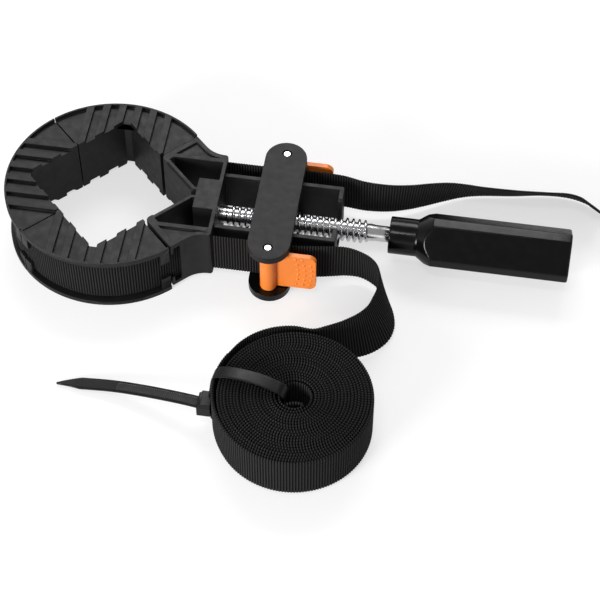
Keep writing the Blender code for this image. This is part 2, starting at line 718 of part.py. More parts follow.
def make_lead():
    """The lead from the front cam to the coil, given as the tail is, then wrapped on the coil."""
    free = [
        (GAP, 0, BAND_LOW, 0), (0.013, -0.0002, BAND_LOW, 1), (0.0245, -0.0018, BAND_LOW, 2),
        (0.0315, -0.0032, 0.0042, 3), (0.0375, -0.0042, 0.0039, 5), (0.044, -0.0038, 0.0034, 8),
        (0.050, -0.0013, 0.0028, 8), (0.0545, 0.0030, 0.0023, 9), (0.0575, 0.0090, 0.0017, 14),
        (0.059, 0.0155, 0.0013, 21), (0.0587, 0.0220, 0.0013, 27), (0.0565, 0.0285, 0.0011, 27),
        (0.051, 0.0350, 0.0010, 22), (0.0425, 0.0405, 0.0010, 13), (0.034, 0.0442, 0.0014, 5),
    ]
    route = [(HEAD_X + x, -BAND_Y - y, lift, lean) for x, y, lift, lean in free]
    meets, ends, step = 86, 151, 13
    for angle in range(meets, ends + 1, step):
        turn = math.radians(angle)
        loose = 0.0006 + 0.0012 * math.sin(math.pi * (angle - meets) / (ends - meets))
        radius = COIL_R + GAP + BAND_T / 2 + loose
        x, y = COIL.x + radius * math.cos(turn), COIL.y + radius * math.sin(turn)
        route.append((x, y, COIL_LOW, 0))
    ruled_band("band_lead", leaning(spline(route, 3)), BAND_T, WEBBING)


def inner_end():
    """The band's last loose turn in the roll's hole, and the fold that it ends in."""
    start, step, count = 160, 30, 13
    wide, closing = COIL_HOLE - BAND_T, 0.0023
    turn = []
    for k in range(count + 1):
        angle = math.radians(start + step * k)
        radius = wide - closing * k / count
        turn.append((radius * math.cos(angle), radius * math.sin(angle)))
    fold = [
        (-0.0058, -0.0044), (-0.0025, -0.0067), (0.0012, -0.0069), (0.0036, -0.0059), (0.0046, -0.0047),
        (0.0039, -0.0036), (0.0020, -0.0033), (-0.0003, -0.0037), (-0.0029, -0.0047),
    ]
    return turn + fold


def make_coil():
    """The spare band, rolled up on edge, as the solid of its outer shape, and its inner end."""
    edge = 0.0006
    profile = [(COIL_R - edge, COIL_HIGH), (COIL_R, COIL_HIGH - edge)]
    profile += [(COIL_R, COIL_LOW + edge), (COIL_R - edge, COIL_LOW)]
    profile += [(COIL_HOLE, COIL_LOW), (COIL_HOLE, COIL_HIGH)]
    coil = turned("band_coil", profile, 64, WEBBING)
    coil.location = (COIL.x, COIL.y, 0)
    curl = spline([(x, y, 0) for x, y in inner_end()], 3)
    middle = Vector((COIL.x, COIL.y, COIL_MID))
    up = Vector((0, 0, BAND_W))
    ruled_band("band_inner_end", [(middle + point, up) for point in curl], BAND_T, WEBBING)


def tie_loop():
    """Stations of the strap round the coil's section. It arches over the roll and dives into its hole.

    The route is given by bearing from the coil's middle, radius and height."""
    out = COIL_R + TIE_T / 2 + 0.0012
    over = COIL_HIGH + TIE_T / 2 + GAP
    under = COIL_LOW - TIE_T / 2 - GAP
    hole = TIE_IN
    turn = 0.0025
    loop = [
        (176, out + 0.0012, COIL_MID), (176, out + 0.0004, COIL_MID + 0.0050),
        (173, out, COIL_HIGH - 0.0027), (171, out - 0.0004, COIL_HIGH - 0.0003),
        (170, out - 0.0018, over + 0.0003),
    ]
    for share in (0.14, 0.28, 0.43, 0.58, 0.72, 0.84, 0.93):
        lift = 4 * TIE_ARCH * share * (1 - share)
        loop.append((170 - 3 * share, out + (hole - out) * share, over + lift))
    loop += [
        (167, hole + 0.0006, over - 0.0010), (167, hole, over - 0.0035), (167, hole, COIL_MID),
        (168, hole, under + turn), (168, hole + 0.0003, under + 0.0002), (169, hole + turn, under),
        (175, (out + hole) / 2, under), (177, out - 0.0042, under),
        (178, out - 0.0018, under + 0.0001), (179, out - 0.0003, under + 0.0016),
        (179, out, under + 0.0039), (179, out + 0.0008, COIL_MID - 0.0050),
        (179, out + 0.0014, COIL_MID - 0.0010),
    ]
    stations = []
    for angle, radius, z in loop:
        turn = math.radians(angle)
        middle = (COIL.x + radius * math.cos(turn), COIL.y + radius * math.sin(turn), z)
        across = Vector((-math.sin(turn), math.cos(turn), 0))
        stations.append((Vector(middle), across * TIE_W))
    return stations


def make_tie():
    """A cable tie: a loop through the coil's hole, a locking head and a free tail."""
    tie = ruled_band("cable_tie", tie_loop(), TIE_T, TIE)
    head = Vector((COIL.x - COIL_R - 0.0044, COIL.y - 0.0018, 0))
    free = [
        (-0.0007, 0.0000, 0.0130), (-0.0072, 0.0015, 0.0120), (-0.0172, 0.0040, 0.0097),
        (-0.0322, 0.0070, 0.0067), (-0.0467, 0.0090, 0.0042), (-0.0622, 0.0095, 0.0022),
    ]
    points = spline([head + Vector(point) for point in free], 2)
    stations = []
    for k, point in enumerate(points):
        along = points[min(k + 1, len(points) - 1)] - points[max(k - 1, 0)]
        across = Vector((-along.y, along.x, 0)).normalized()
        stations.append((point, across * TIE_W))
    stations.append((head + Vector((-0.0739, 0.0086, 0.0011)), stations[-1][1] * 0.12))
    tail = ruled_band("tie_tail", stations, TIE_T, TIE)
    boolean(tie, freeze(tail), "UNION")
    wall = 0.00135
    half = TIE_W / 2 + wall
    plan = [(-0.0034, -half), (0.0032, -half), (0.0032, half), (-0.0014, half)]
    locker = slab("tie_head", [plan], COIL_MID - 0.0048, COIL_MID + 0.0038)
    bevel(locker, 0.0008, 2)
    freeze(locker).data.transform(Matrix.Translation(head))
    boolean(tie, locker, "UNION")


def place_zero():
    """Everything is drawn about the ring's centre, then moved to put zero under the crosshead."""
    zero = bpy.data.objects.new("clamp_zero", None)
    zero.location.x = -HEAD_X
    CUTTERS.objects.link(zero)
    for piece in list(PARTS.objects) + list(CUTTERS.objects):
        if piece is not zero and not piece.parent:
            piece.parent = zero


make_pads()
make_frame()
make_crosshead()
make_lever("cam_lever_back", 1)
make_lever("cam_lever_front", -1)
make_spindle()
make_handle()
make_ring_band()
make_tail()
make_lead()
make_coil()
make_tie()
for part in PARTS.objects:
    smooth(part)
place_zero()
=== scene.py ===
# %% [markdown]
# # A corner band clamp
#
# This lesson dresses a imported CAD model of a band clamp: a ring of three loose corner pads and a
# V jaw, a webbing band round them, and a screw that pulls the band tight. The solids already have
# the right sizes and places. What they lack is what the eye looks for: rounded edges, ribs in the
# webbing, a real thread, and surfaces that answer to light.
#
# Every length is in metres. X runs along the screw toward the handle, Z is up from the table, and
# zero lies under the middle of the crosshead.

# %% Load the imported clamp
import json
import math

import bmesh
import bpy
import numpy as np
from mathutils import Matrix, Vector, noise


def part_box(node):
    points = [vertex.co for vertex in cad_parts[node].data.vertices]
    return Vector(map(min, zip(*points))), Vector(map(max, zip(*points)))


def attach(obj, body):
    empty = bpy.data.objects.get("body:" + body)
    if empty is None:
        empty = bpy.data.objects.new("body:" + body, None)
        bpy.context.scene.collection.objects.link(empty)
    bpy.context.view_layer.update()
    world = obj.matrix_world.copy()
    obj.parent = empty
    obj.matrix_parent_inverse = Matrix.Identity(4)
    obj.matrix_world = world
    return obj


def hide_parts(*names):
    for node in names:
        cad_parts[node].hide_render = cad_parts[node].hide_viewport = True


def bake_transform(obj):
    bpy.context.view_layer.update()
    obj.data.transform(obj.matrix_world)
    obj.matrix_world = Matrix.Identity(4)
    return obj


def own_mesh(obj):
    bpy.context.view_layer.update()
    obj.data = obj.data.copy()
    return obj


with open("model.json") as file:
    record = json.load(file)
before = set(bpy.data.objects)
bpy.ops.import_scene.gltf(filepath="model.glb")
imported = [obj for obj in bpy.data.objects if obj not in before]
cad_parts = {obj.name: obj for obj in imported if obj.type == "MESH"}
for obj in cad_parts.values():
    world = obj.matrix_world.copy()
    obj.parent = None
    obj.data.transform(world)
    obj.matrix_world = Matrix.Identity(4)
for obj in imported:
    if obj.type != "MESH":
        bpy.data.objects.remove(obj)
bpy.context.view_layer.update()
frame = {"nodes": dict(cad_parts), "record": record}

# %% [markdown]
# ## The camera
#
# The photograph was taken from a little to the left of the handle's line and from high up, with a
# long lens. A long lens keeps the far end of the handle almost as large as the near pads. The turn,
# the rise and the distance were found by matching the corners of the pads and the rivets, so the
# clamp falls on the frame where it does in the photograph.

# %% Camera
PHOTO_TURN = 0.148
PHOTO_RISE = 0.925
PHOTO_ROLL = 0.004
PHOTO_LENS = 114.2
CAMERA_AT = Vector((0.0997, -0.5932, 0.7498))


def photo_camera():
    """A camera whose axes come from its turn round the clamp, its rise and a slight roll."""
    right = Vector((math.cos(PHOTO_TURN), math.sin(PHOTO_TURN), 0))
    level = Vector((math.sin(PHOTO_TURN), -math.cos(PHOTO_TURN), 0))
    back = level * math.cos(PHOTO_RISE) + Vector((0, 0, math.sin(PHOTO_RISE)))
    up = back.cross(right)
    side = right * math.cos(PHOTO_ROLL) + up * math.sin(PHOTO_ROLL)
    top = up * math.cos(PHOTO_ROLL) - right * math.sin(PHOTO_ROLL)
    camera = bpy.data.objects.new("photo_camera", bpy.data.cameras.new("photo_camera"))
    camera.matrix_world = Matrix.Translation(CAMERA_AT) @ Matrix((side, top, back)).transposed().to_4x4()
    camera.data.lens = PHOTO_LENS
    camera.data.clip_start = 0.05
    bpy.context.scene.collection.objects.link(camera)
    bpy.context.scene.camera = camera
    return camera


camera = photo_camera()
bpy.context.scene.view_settings.view_transform = "Standard"
print("camera is", round(camera.location.length, 3), "m from the crosshead")

# %% [markdown]
# ## Table, world and lamps
#
# Black plastic shows little of its own colour and mostly mirrors its surroundings, so the places of
# the lamps decide how it looks. A wide lamp behind is mirrored in everything that faces up, which
# turns the plates and the slats a soft grey. A lamp at the front left lights the upright faces, the
# orange tabs above all. A small one above draws bright lines on edges that face half forward. Faces
# that mirror none of the lamps show the ceiling, which is dark, as it is in a studio, and stay nearly
# black. The table is pale and glows toward the camera, and more weakly in mirrors, so it looks white
# without throwing more light on the clamp.

# %% Table, world and lamps
TABLE_HALF = 2.0
TABLE_DROP = 0.0002
TABLE_PAINT = 0.44
TABLE_GLOW = 0.62
TABLE_IN_MIRRORS = 0.45
WORLD_LIGHT = 0.36
CEILING = 0.25
# How far up a direction points, from 0 to 1, where the white walls end and where the ceiling begins
WALLS_END = 0.15
CEILING_BEGINS = 0.45


def computed(tree, operation, *terms):
    """The result of a math node whose terms are numbers or the outputs of other nodes."""
    step = tree.nodes.new("ShaderNodeMath")
    step.operation = operation
    for socket, term in zip(step.inputs, terms):
        if isinstance(term, float):
            socket.default_value = term
        else:
            tree.links.new(term, socket)
    return step.outputs[0]


def seen_directly(tree, mirrored=1.0):
    """A value that is 1 for the camera, some share of it in mirrors and glass, and 0 for light."""
    path = tree.nodes.new("ShaderNodeLightPath")
    either = computed(tree, "MAXIMUM", path.outputs["Is Glossy Ray"], path.outputs["Is Transmission Ray"])
    seen = computed(tree, "MULTIPLY_ADD", either, mirrored, path.outputs["Is Camera Ray"])
    seen.node.use_clamp = True
    return seen


def make_table():
    work = bmesh.new()
    bmesh.ops.create_grid(work, x_segments=8, y_segments=8, size=TABLE_HALF)
    mesh = bpy.data.meshes.new("table_top")
    work.to_mesh(mesh)
    work.free()
    look = bpy.data.materials.new("pale_table")
    look.use_nodes = True
    tree = look.node_tree
    tree.nodes.clear()
    paint = tree.nodes.new("ShaderNodeBsdfDiffuse")
    paint.inputs["Color"].default_value = (TABLE_PAINT, TABLE_PAINT, TABLE_PAINT, 1)
    glow = tree.nodes.new("ShaderNodeEmission")
    strength = computed(tree, "MULTIPLY", seen_directly(tree, TABLE_IN_MIRRORS), TABLE_GLOW)
    tree.links.new(strength, glow.inputs["Strength"])
    both = tree.nodes.new("ShaderNodeAddShader")
    tree.links.new(paint.outputs[0], both.inputs[0])
    tree.links.new(glow.outputs[0], both.inputs[1])
    out = tree.nodes.new("ShaderNodeOutputMaterial")
    tree.links.new(both.outputs[0], out.inputs["Surface"])
    mesh.materials.append(look)
    table = bpy.data.objects.new("table_top", mesh)
    table.location.z = -TABLE_DROP
    bpy.context.scene.collection.objects.link(table)


def light_world():
    world = bpy.data.worlds.new("studio")
    bpy.context.scene.world = world
    world.use_nodes = True
    tree = world.node_tree
    background = tree.nodes["Background"]
    background.inputs["Color"].default_value = (1, 1, 1, 1)
    direction = tree.nodes.new("ShaderNodeTexCoord")
    parts = tree.nodes.new("ShaderNodeSeparateXYZ")
    tree.links.new(direction.outputs["Generated"], parts.inputs[0])
    height = tree.nodes.new("ShaderNodeMapRange")
    height.inputs["From Min"].default_value = WALLS_END
    height.inputs["From Max"].default_value = CEILING_BEGINS
    height.inputs["To Min"].default_value = 1.0
    height.inputs["To Max"].default_value = CEILING
    tree.links.new(parts.outputs["Z"], height.inputs["Value"])
    level = tree.nodes.new("ShaderNodeMapRange")
    level.inputs["To Min"].default_value = WORLD_LIGHT
    tree.links.new(height.outputs[0], level.inputs["To Max"])
    tree.links.new(seen_directly(tree), level.inputs["Value"])
    tree.links.new(level.outputs[0], background.inputs["Strength"])


def soft_lamp(name, place, wide, tall, power):
    """A rectangular lamp that faces the middle of the clamp."""
    lamp = bpy.data.lights.new(name, "AREA")
    lamp.shape = "RECTANGLE"
    lamp.size = wide
    lamp.size_y = tall
    lamp.energy = power
    holder = bpy.data.objects.new(name, lamp)
    holder.location = place
    holder.rotation_euler = (-Vector(place)).to_track_quat("-Z", "Y").to_euler()
    bpy.context.scene.collection.objects.link(holder)


make_table()
light_world()
soft_lamp("lamp_behind", (-0.08, 0.84, 1.05), 0.95, 0.45, 8.0)
soft_lamp("lamp_front_left", (-0.85, -1.15, 0.45), 0.60, 0.50, 22.0)
soft_lamp("lamp_above", (-0.10, -0.46, 1.20), 0.30, 0.12, 1.8)

# %% [markdown]
# ## Moulded nylon
#
# The jaw, the pads and the plates are injection moulded. Such plastic is not one flat colour: the
# mould's spark-eroded skin gives a very fine grain, and handling polishes it in soft patches. The
# material therefore has three layers of noise. A wide one varies the colour, a middle one varies
# the roughness, and a fine one lifts the surface by a hundredth of a millimetre or less.

# %% Moulded plastics
# Noise scales per metre: the larger the number, the smaller the patches
COLOUR_PATCHES = 60
POLISH_PATCHES = 240
SKIN_GRAIN = 5200


def noise_at(tree, scale, detail=3.0):
    """Noise over the piece's own place in metres, as a factor from 0 to 1."""
    where = tree.nodes.new("ShaderNodeTexCoord")
    grain = tree.nodes.new("ShaderNodeTexNoise")
    grain.inputs["Scale"].default_value = scale
    grain.inputs["Detail"].default_value = detail
    tree.links.new(where.outputs["Object"], grain.inputs["Vector"])
    return grain.outputs["Fac"]


def ranged(tree, value, low, high):
    """A factor brought to a range."""
    spread = tree.nodes.new("ShaderNodeMapRange")
    spread.inputs["From Min"].default_value = 0.3
    spread.inputs["From Max"].default_value = 0.7
    spread.inputs["To Min"].default_value = low
    spread.inputs["To Max"].default_value = high
    tree.links.new(value, spread.inputs["Value"])
    return spread.outputs[0]


def between(tree, value, one, two):
    """A colour between two, by a factor."""
    blend = tree.nodes.new("ShaderNodeMix")
    blend.data_type = "RGBA"
    blend.inputs["A"].default_value = (*one, 1)
    blend.inputs["B"].default_value = (*two, 1)
    tree.links.new(value, blend.inputs["Factor"])
    return blend.outputs["Result"]


def lifted(tree, height, depth):
    """A bump of the given depth in metres."""
    bump = tree.nodes.new("ShaderNodeBump")
    bump.inputs["Strength"].default_value = 1.0
    bump.inputs["Distance"].default_value = depth
    tree.links.new(height, bump.inputs["Height"])
    return bump.outputs["Normal"]


def moulded(name, dark, light, smooth, rough, grain_depth, specular):
    look = bpy.data.materials.new(name)
    look.use_nodes = True
    tree = look.node_tree
    shader = tree.nodes["Principled BSDF"]
    shader.inputs["Specular IOR Level"].default_value = specular
    tree.links.new(between(tree, noise_at(tree, COLOUR_PATCHES), dark, light), shader.inputs["Base Color"])
    tree.links.new(ranged(tree, noise_at(tree, POLISH_PATCHES), smooth, rough), shader.inputs["Roughness"])
    tree.links.new(lifted(tree, noise_at(tree, SKIN_GRAIN, 2.0), grain_depth), shader.inputs["Normal"])
    return look


def grey(level):
    return (level, level, level)


DEEP_ORANGE = (0.93, 0.235, 0.030)
PALE_ORANGE = (0.98, 0.265, 0.040)
BLACK_NYLON = moulded("black_nylon", grey(0.004), grey(0.008), 0.42, 0.54, 0.000012, 0.34)
PLATE_BLACK = moulded("plate_black", grey(0.006), grey(0.009), 0.46, 0.54, 0.000008, 0.31)
GLOSS_BLACK = moulded("gloss_black", grey(0.002), grey(0.004), 0.16, 0.24, 0.000003, 0.25)
ORANGE_NYLON = moulded("orange_nylon", DEEP_ORANGE, PALE_ORANGE, 0.28, 0.38, 0.000008, 0.40)
TIE_NYLON = moulded("tie_nylon", grey(0.003), grey(0.006), 0.30, 0.42, 0.000006, 0.28)
print("materials so far:", [m.name for m in bpy.data.materials])

# %% [markdown]
# ## Bright zinc on steel
#
# The screw, the nut and the rivets are steel with a bright zinc plate. Plated metal is almost a
# mirror, with a faint cloudiness where the plating grew unevenly. A metallic surface takes its
# colour from its base colour, so that stays pale and even, and only the roughness wanders.

# %% Zinc plate
ZINC_DULL = (0.86, 0.87, 0.88)
ZINC_PALE = (0.93, 0.93, 0.94)
ZINC_PATCHES = 180
ZINC_CLOUDS = 700
ZINC_GRAIN = 2600
ZINC_DEPTH = 0.00001


def zinc_plate():
    look = bpy.data.materials.new("zinc_steel")
    look.use_nodes = True
    tree = look.node_tree
    shader = tree.nodes["Principled BSDF"]
    shader.inputs["Metallic"].default_value = 1.0
    pale = between(tree, noise_at(tree, ZINC_PATCHES), ZINC_DULL, ZINC_PALE)
    tree.links.new(pale, shader.inputs["Base Color"])
    tree.links.new(ranged(tree, noise_at(tree, ZINC_CLOUDS), 0.14, 0.26), shader.inputs["Roughness"])
    tree.links.new(lifted(tree, noise_at(tree, ZINC_GRAIN, 2.0), ZINC_DEPTH), shader.inputs["Normal"])
    return look


ZINC = zinc_plate()
print("metal:", ZINC.name)

# %% [markdown]
# ## Rounding what the CAD left sharp
#
# No moulded or forged edge is sharp. A radius of a quarter of a millimetre is too small to change
# a shape, but each one catches a thin line of light, and those lines are what makes an object look
# solid. The solids come in as triangles, so the copy is first welded and its flat faces are
# dissolved into whole faces. Then only the edges that turn by more than a limit are bevelled, and
# the normals are weighted by face area to keep the big faces flat. Where short edges crowd together,
# a bevel can fold over itself and shade black, so those few edges are found and stay sharp. So do
# the edges at two heights inside the pads, where nobody sees them and a bevel closed an open corner.

# %% Rounded copies of the solids
WELD = 0.00002
FLAT_TURN = 0.7
FOLD_TURN = 120
SHORT_EDGE = 0.004
NEAR_FOLD = 0.0004
HIDDEN_LEVELS = (0.0027, 0.0297)
SAME_LEVEL = 0.0001
MOST_TRIES = 5


def add_piece(name, mesh, look, body):
    """Puts a mesh in the scene as a piece of the clamp that moves with a body."""
    mesh.materials.clear()
    mesh.materials.append(look)
    piece = bpy.data.objects.new(name, mesh)
    bpy.context.scene.collection.objects.link(piece)
    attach(piece, body)
    return piece


def close_rings(work, rings):
    """Joins each ring of points to the next with faces, and closes both ends."""
    for one, two in zip(rings, rings[1:]):
        for k in range(len(one)):
            after = (k + 1) % len(one)
            work.faces.new((one[k], two[k], two[after], one[after]))
    work.faces.new(rings[0])
    work.faces.new(list(reversed(rings[-1])))


def mesh_of(work, name):
    """The mesh of what was built, with its faces turned outward."""
    bmesh.ops.recalc_face_normals(work, faces=work.faces)
    mesh = bpy.data.meshes.new(name)
    work.to_mesh(mesh)
    work.free()
    return mesh


def even_shading(piece, angle=42):
    """Smooth shading that keeps big faces flat and edges sharper than the angle crisp."""
    piece.data.shade_smooth()
    piece.data.set_sharp_from_angle(angle=math.radians(angle))
    weigh = piece.modifiers.new("even_shading", "WEIGHTED_NORMAL")
    weigh.keep_sharp = True
    return piece


def turning_edges(work, degrees):
    """The edges whose two faces turn by more than an angle."""
    return [e for e in work.edges if len(e.link_faces) == 2 and e.calc_face_angle(0) > math.radians(degrees)]


def bevelled(node, radius, turn, crowded):
    """A bevelled copy of a solid that leaves the short edges near some places sharp."""
    work = bmesh.new()
    work.from_mesh(frame["nodes"][node].data)
    bmesh.ops.remove_doubles(work, verts=work.verts, dist=WELD)
    bmesh.ops.dissolve_limit(work, angle_limit=math.radians(FLAT_TURN), verts=work.verts, edges=work.edges)

    def has_room(edge):
        for level in HIDDEN_LEVELS:
            if all(abs(v.co.z - level) < SAME_LEVEL for v in edge.verts):
                return False
        near = any((v.co - spot).length < NEAR_FOLD for v in edge.verts for spot in crowded)
        return edge.calc_length() > SHORT_EDGE or not near

    sharp = [edge for edge in turning_edges(work, turn) if has_room(edge)]
    bmesh.ops.bevel(
        work, geom=sharp, offset=radius, offset_type="OFFSET", segments=2,
        profile=0.5, affect="EDGES", clamp_overlap=False,
    )
    bmesh.ops.recalc_face_normals(work, faces=work.faces)
    return work


def rounded_mesh(node, radius, turn):
    """A rounded copy of a solid, tried again without the edges at which the bevel folds over."""
    crowded = []
    for number in range(1, MOST_TRIES + 1):
        work = bevelled(node, radius, turn, crowded)
        folds = [v.co.copy() for edge in turning_edges(work, FOLD_TURN) for v in edge.verts]
        if not folds or number == MOST_TRIES:
            break
        crowded += folds
        work.free()
    mesh = bpy.data.meshes.new(node + "_rounded")
    work.to_mesh(mesh)
    work.free()
    return mesh


def body_of_node(node):
    groups = frame["record"]["behaviour"]["bodies"]
    return next(body for body, nodes in groups.items() if node in nodes)


def rounded(name, node, look, radius, turn=30):
    piece = add_piece(name, rounded_mesh(node, radius, turn), look, body_of_node(node))
    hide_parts(node)
    return even_shading(piece)


print("crowded edges stay sharp where they are shorter than", SHORT_EDGE * 1000, "mm")

# %% [markdown]
# ## Jaw, pads and crosshead
#
# These rigid parts keep the shape of their solids. The pads are loose: only the band holds them.
# The lower plate of the crosshead looks shinier than the upper one in the photograph, so it has the
# grip's glossy finish.

# %% Jaw, pads and crosshead
JAW_EDGE = 0.00025
PAD_EDGE = 0.00016
HOLE_EDGE = 0.00012
CORE_EDGE = 0.00020
NUT_EDGE = 0.00030
RIVET_EDGE = 0.00015
# The plates' rims are round already, so only turns as sharp as a hole's edge are bevelled
HOLE_TURN = 70
rounded("jaw_moulding", "frame_jaw", BLACK_NYLON, JAW_EDGE)
for side in ("back", "far", "front"):
    rounded(f"pad_{side}_moulding", f"pad_{side}", BLACK_NYLON, PAD_EDGE)
for level, look in (("upper", PLATE_BLACK), ("lower", GLOSS_BLACK)):
    rounded(f"plate_{level}_moulding", f"crosshead_plate_{level}", look, HOLE_EDGE, HOLE_TURN)
rounded("core_moulding", "crosshead_core", BLACK_NYLON, CORE_EDGE)
rounded("hex_nut", "nut", ZINC, NUT_EDGE)
for side in ("back", "front"):
    rounded(f"rivet_{side}_pin", f"rivet_{side}", ZINC, RIVET_EDGE)

# %% [markdown]
# ## The grip
#
# The handle is a glossy square bar with its corners cut off, turned down to a round collar at the
# screw. Where the turned cone cuts the flats, it leaves curved edges that catch the light. A bevel
# can't round edges that fade into each other like that. So the surface is worked out: in every
# direction from the axis it lies at the nearest of the eight planes and the turned profile, and a
# soft minimum, which blends values that are close to each other, rounds all the edges at once. A
# handle stops wherever the screw does, so the bar is rolled about it as it is in the photograph.

# %% Handle
GRIP_FLATS = 0.0240
GRIP_CHAMFER = 0.0050
GRIP_ROLL = math.radians(48.5)
COLLAR_R = 0.00925
COLLAR_LONG = 0.0138
CROWN_START = 0.0222
CROWN_R = 0.01507
COLLAR_ROUND = 0.0006
END_ROUND = 0.0011
BORE_R = 0.0043
BORE_DEEP = 0.0348
EDGE_SHARPNESS = 9000
EDGE_ON = 0.3
CONE_STEPS = 30
GRIP_CRISP = 60


def soft_minimum(values):
    return -math.log(sum(math.exp(-EDGE_SHARPNESS * value) for value in values)) / EDGE_SHARPNESS


def grip_radius(along, turn):
    """The grip's surface in one direction, at a distance from its front."""
    cone = min(1.0, max(0.0, (along - COLLAR_LONG) / (CROWN_START - COLLAR_LONG)))
    limits = [COLLAR_R + (CROWN_R - COLLAR_R) * cone]
    for side in range(8):
        facing = math.cos(turn - GRIP_ROLL - side * math.pi / 4)
        plane = GRIP_FLATS / math.sqrt(2) - GRIP_CHAMFER / 2 if side % 2 else GRIP_FLATS / 2
        if facing > EDGE_ON:
            limits.append(plane / facing)
    return soft_minimum(limits)


def grip_turns():
    """Directions round the axis, close together near the bar's edges."""
    edge = math.degrees(math.atan2(GRIP_FLATS / 2 - GRIP_CHAMFER / math.sqrt(2), GRIP_FLATS / 2))
    offsets = [-18, -12, -6, 0, 6, 12, 18, 45]
    for near in (-10, -5, -3, -2, -1, 0, 1, 2, 3, 5):
        offsets += [edge + near, -edge - near]
    return sorted(GRIP_ROLL + math.radians(90 * side + offset) for side in range(4) for offset in offsets)


def grip_rows(long):
    """Stations along the grip: distance, and how much its rounded ends take off the radius."""
    quarter = [math.radians(a) for a in (0, 22.5, 45, 67.5, 90)]
    rows = [(COLLAR_ROUND * (1 - math.sin(a)), COLLAR_ROUND * (1 - math.cos(a))) for a in reversed(quarter)]
    rows += [(COLLAR_LONG * share, 0) for share in (0.3, 0.6, 0.9)]
    rows += [(COLLAR_LONG + (CROWN_START - COLLAR_LONG) * k / CONE_STEPS, 0) for k in range(CONE_STEPS + 1)]
    rows += [(CROWN_START + (long - END_ROUND - CROWN_START) * share, 0) for share in (0.02, 0.1, 0.4, 0.7)]
    return rows + [(long - END_ROUND * (1 - math.sin(a)), END_ROUND * (1 - math.cos(a))) for a in quarter]


def grip_mesh(front, long, z):
    turns = grip_turns()
    rings = []
    work = bmesh.new()

    def ring(along, radius_at):
        spots = [(radius_at(t) * math.sin(t), -radius_at(t) * math.cos(t)) for t in turns]
        rings.append([work.verts.new((front + along, y, z + up)) for y, up in spots])

    ring(BORE_DEEP, lambda turn: BORE_R)
    ring(0.0, lambda turn: BORE_R)
    for along, inset in grip_rows(long):
        ring(along, lambda turn: grip_radius(along, turn) - inset)
    close_rings(work, rings)
    return mesh_of(work, "handle_grip")


grip_low, grip_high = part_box("handle")
screw_z = (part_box("spindle")[0].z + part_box("spindle")[1].z) / 2
bar = grip_mesh(grip_low.x, grip_high.x - grip_low.x, screw_z)
grip = add_piece("handle_grip", bar, GLOSS_BLACK, "spindle")
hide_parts("handle")
grip.data.shade_smooth()
grip.data.set_sharp_from_angle(angle=math.radians(GRIP_CRISP))
print("handle:", [round(1000 * v, 1) for v in grip_high - grip_low], "mm,", len(grip.data.polygons), "faces")

# %% [markdown]
# ## The screw
#
# A thread is a profile swept along a helix. It could be an image, but a thread is a main shape
# here: its flanks mirror the table and the lamps as rows of bright commas. Each station round the
# helix holds one copy of the tooth's profile, and the profile sinks into the core at both ends, as
# it does where a cutting die runs in and out.

# %% Screw
PITCH = 0.003
CREST_R = 0.0059
ROOT_R = 0.0042
SHANK_R = 0.0040
TIP_R = 0.0030
CONE = 0.0010
CORE_STEPS = 64
PER_TURN = 36
FOOT_DEEP = 0.0003
RUN_IN_TURNS = 1.2
LEAST_TOOTH = 0.15
# How far the thread's core stops before the grip, how far the thread stops before that, and how far
# from the screw's tip it starts
CORE_STOPS = 0.0080
TOOTH_STOPS = 0.0012
TOOTH_FROM = 0.0085
THREAD_CRISP = 50


def turned_mesh(name, profile, x, z):
    """A profile of (distance along X, radius) turned about the screw's axis."""
    work = bmesh.new()
    turns = [2 * math.pi * k / CORE_STEPS for k in range(CORE_STEPS)]
    rings = []
    for along, radius in profile:
        rings.append([
            work.verts.new((x + along, radius * math.cos(t), z + radius * math.sin(t))) for t in turns
        ])
    close_rings(work, rings)
    return mesh_of(work, name)


def thread_mesh(start, end, z):
    """The tooth of the thread, from start to end along X, with its foot inside the core."""
    foot = ROOT_R - FOOT_DEEP
    tooth = [(-0.00125, 0.0), (-0.00098, 0.22), (-0.00050, 0.88), (-0.00032, 0.98), (0.0, 1.0)]
    tooth += [(-x, share) for x, share in reversed(tooth[:-1])]
    steps = int((end - start) / PITCH * PER_TURN)
    run_in = RUN_IN_TURNS * PER_TURN
    work = bmesh.new()
    rows = []
    for k in range(steps + 1):
        turn = 2 * math.pi * k / PER_TURN
        height = min(1.0, k / run_in, (steps - k) / run_in)
        middle = start + PITCH * k / PER_TURN
        row = []
        for along, share in tooth:
            radius = foot + (CREST_R - foot) * share * (LEAST_TOOTH + (1 - LEAST_TOOTH) * height)
            row.append(work.verts.new((middle + along, radius * math.cos(turn), z + radius * math.sin(turn))))
        rows.append(row)
    close_rings(work, rows)
    return mesh_of(work, "thread_tooth")


def make_screw():
    low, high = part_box("spindle")
    end = high.x - low.x
    thread_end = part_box("handle")[0].x - CORE_STOPS - low.x
    profile = [(0, TIP_R), (CONE, ROOT_R), (0.0065, ROOT_R), (0.0072, ROOT_R), (thread_end, ROOT_R)]
    profile += [(thread_end + 0.0004, SHANK_R), (end - CONE, SHANK_R), (end, TIP_R)]
    mesh = turned_mesh("screw_core", profile, low.x, screw_z)
    work = bmesh.new()
    work.from_mesh(mesh)
    work.from_mesh(thread_mesh(low.x + TOOTH_FROM, low.x + thread_end - TOOTH_STOPS, screw_z))
    work.to_mesh(mesh)
    work.free()
    screw = add_piece("screw_thread", mesh, ZINC, "spindle")
    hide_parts("spindle")
    screw.data.shade_smooth()
    screw.data.set_sharp_from_angle(angle=math.radians(THREAD_CRISP))
    return screw


screw = make_screw()
print("screw has", len(screw.data.polygons), "faces")

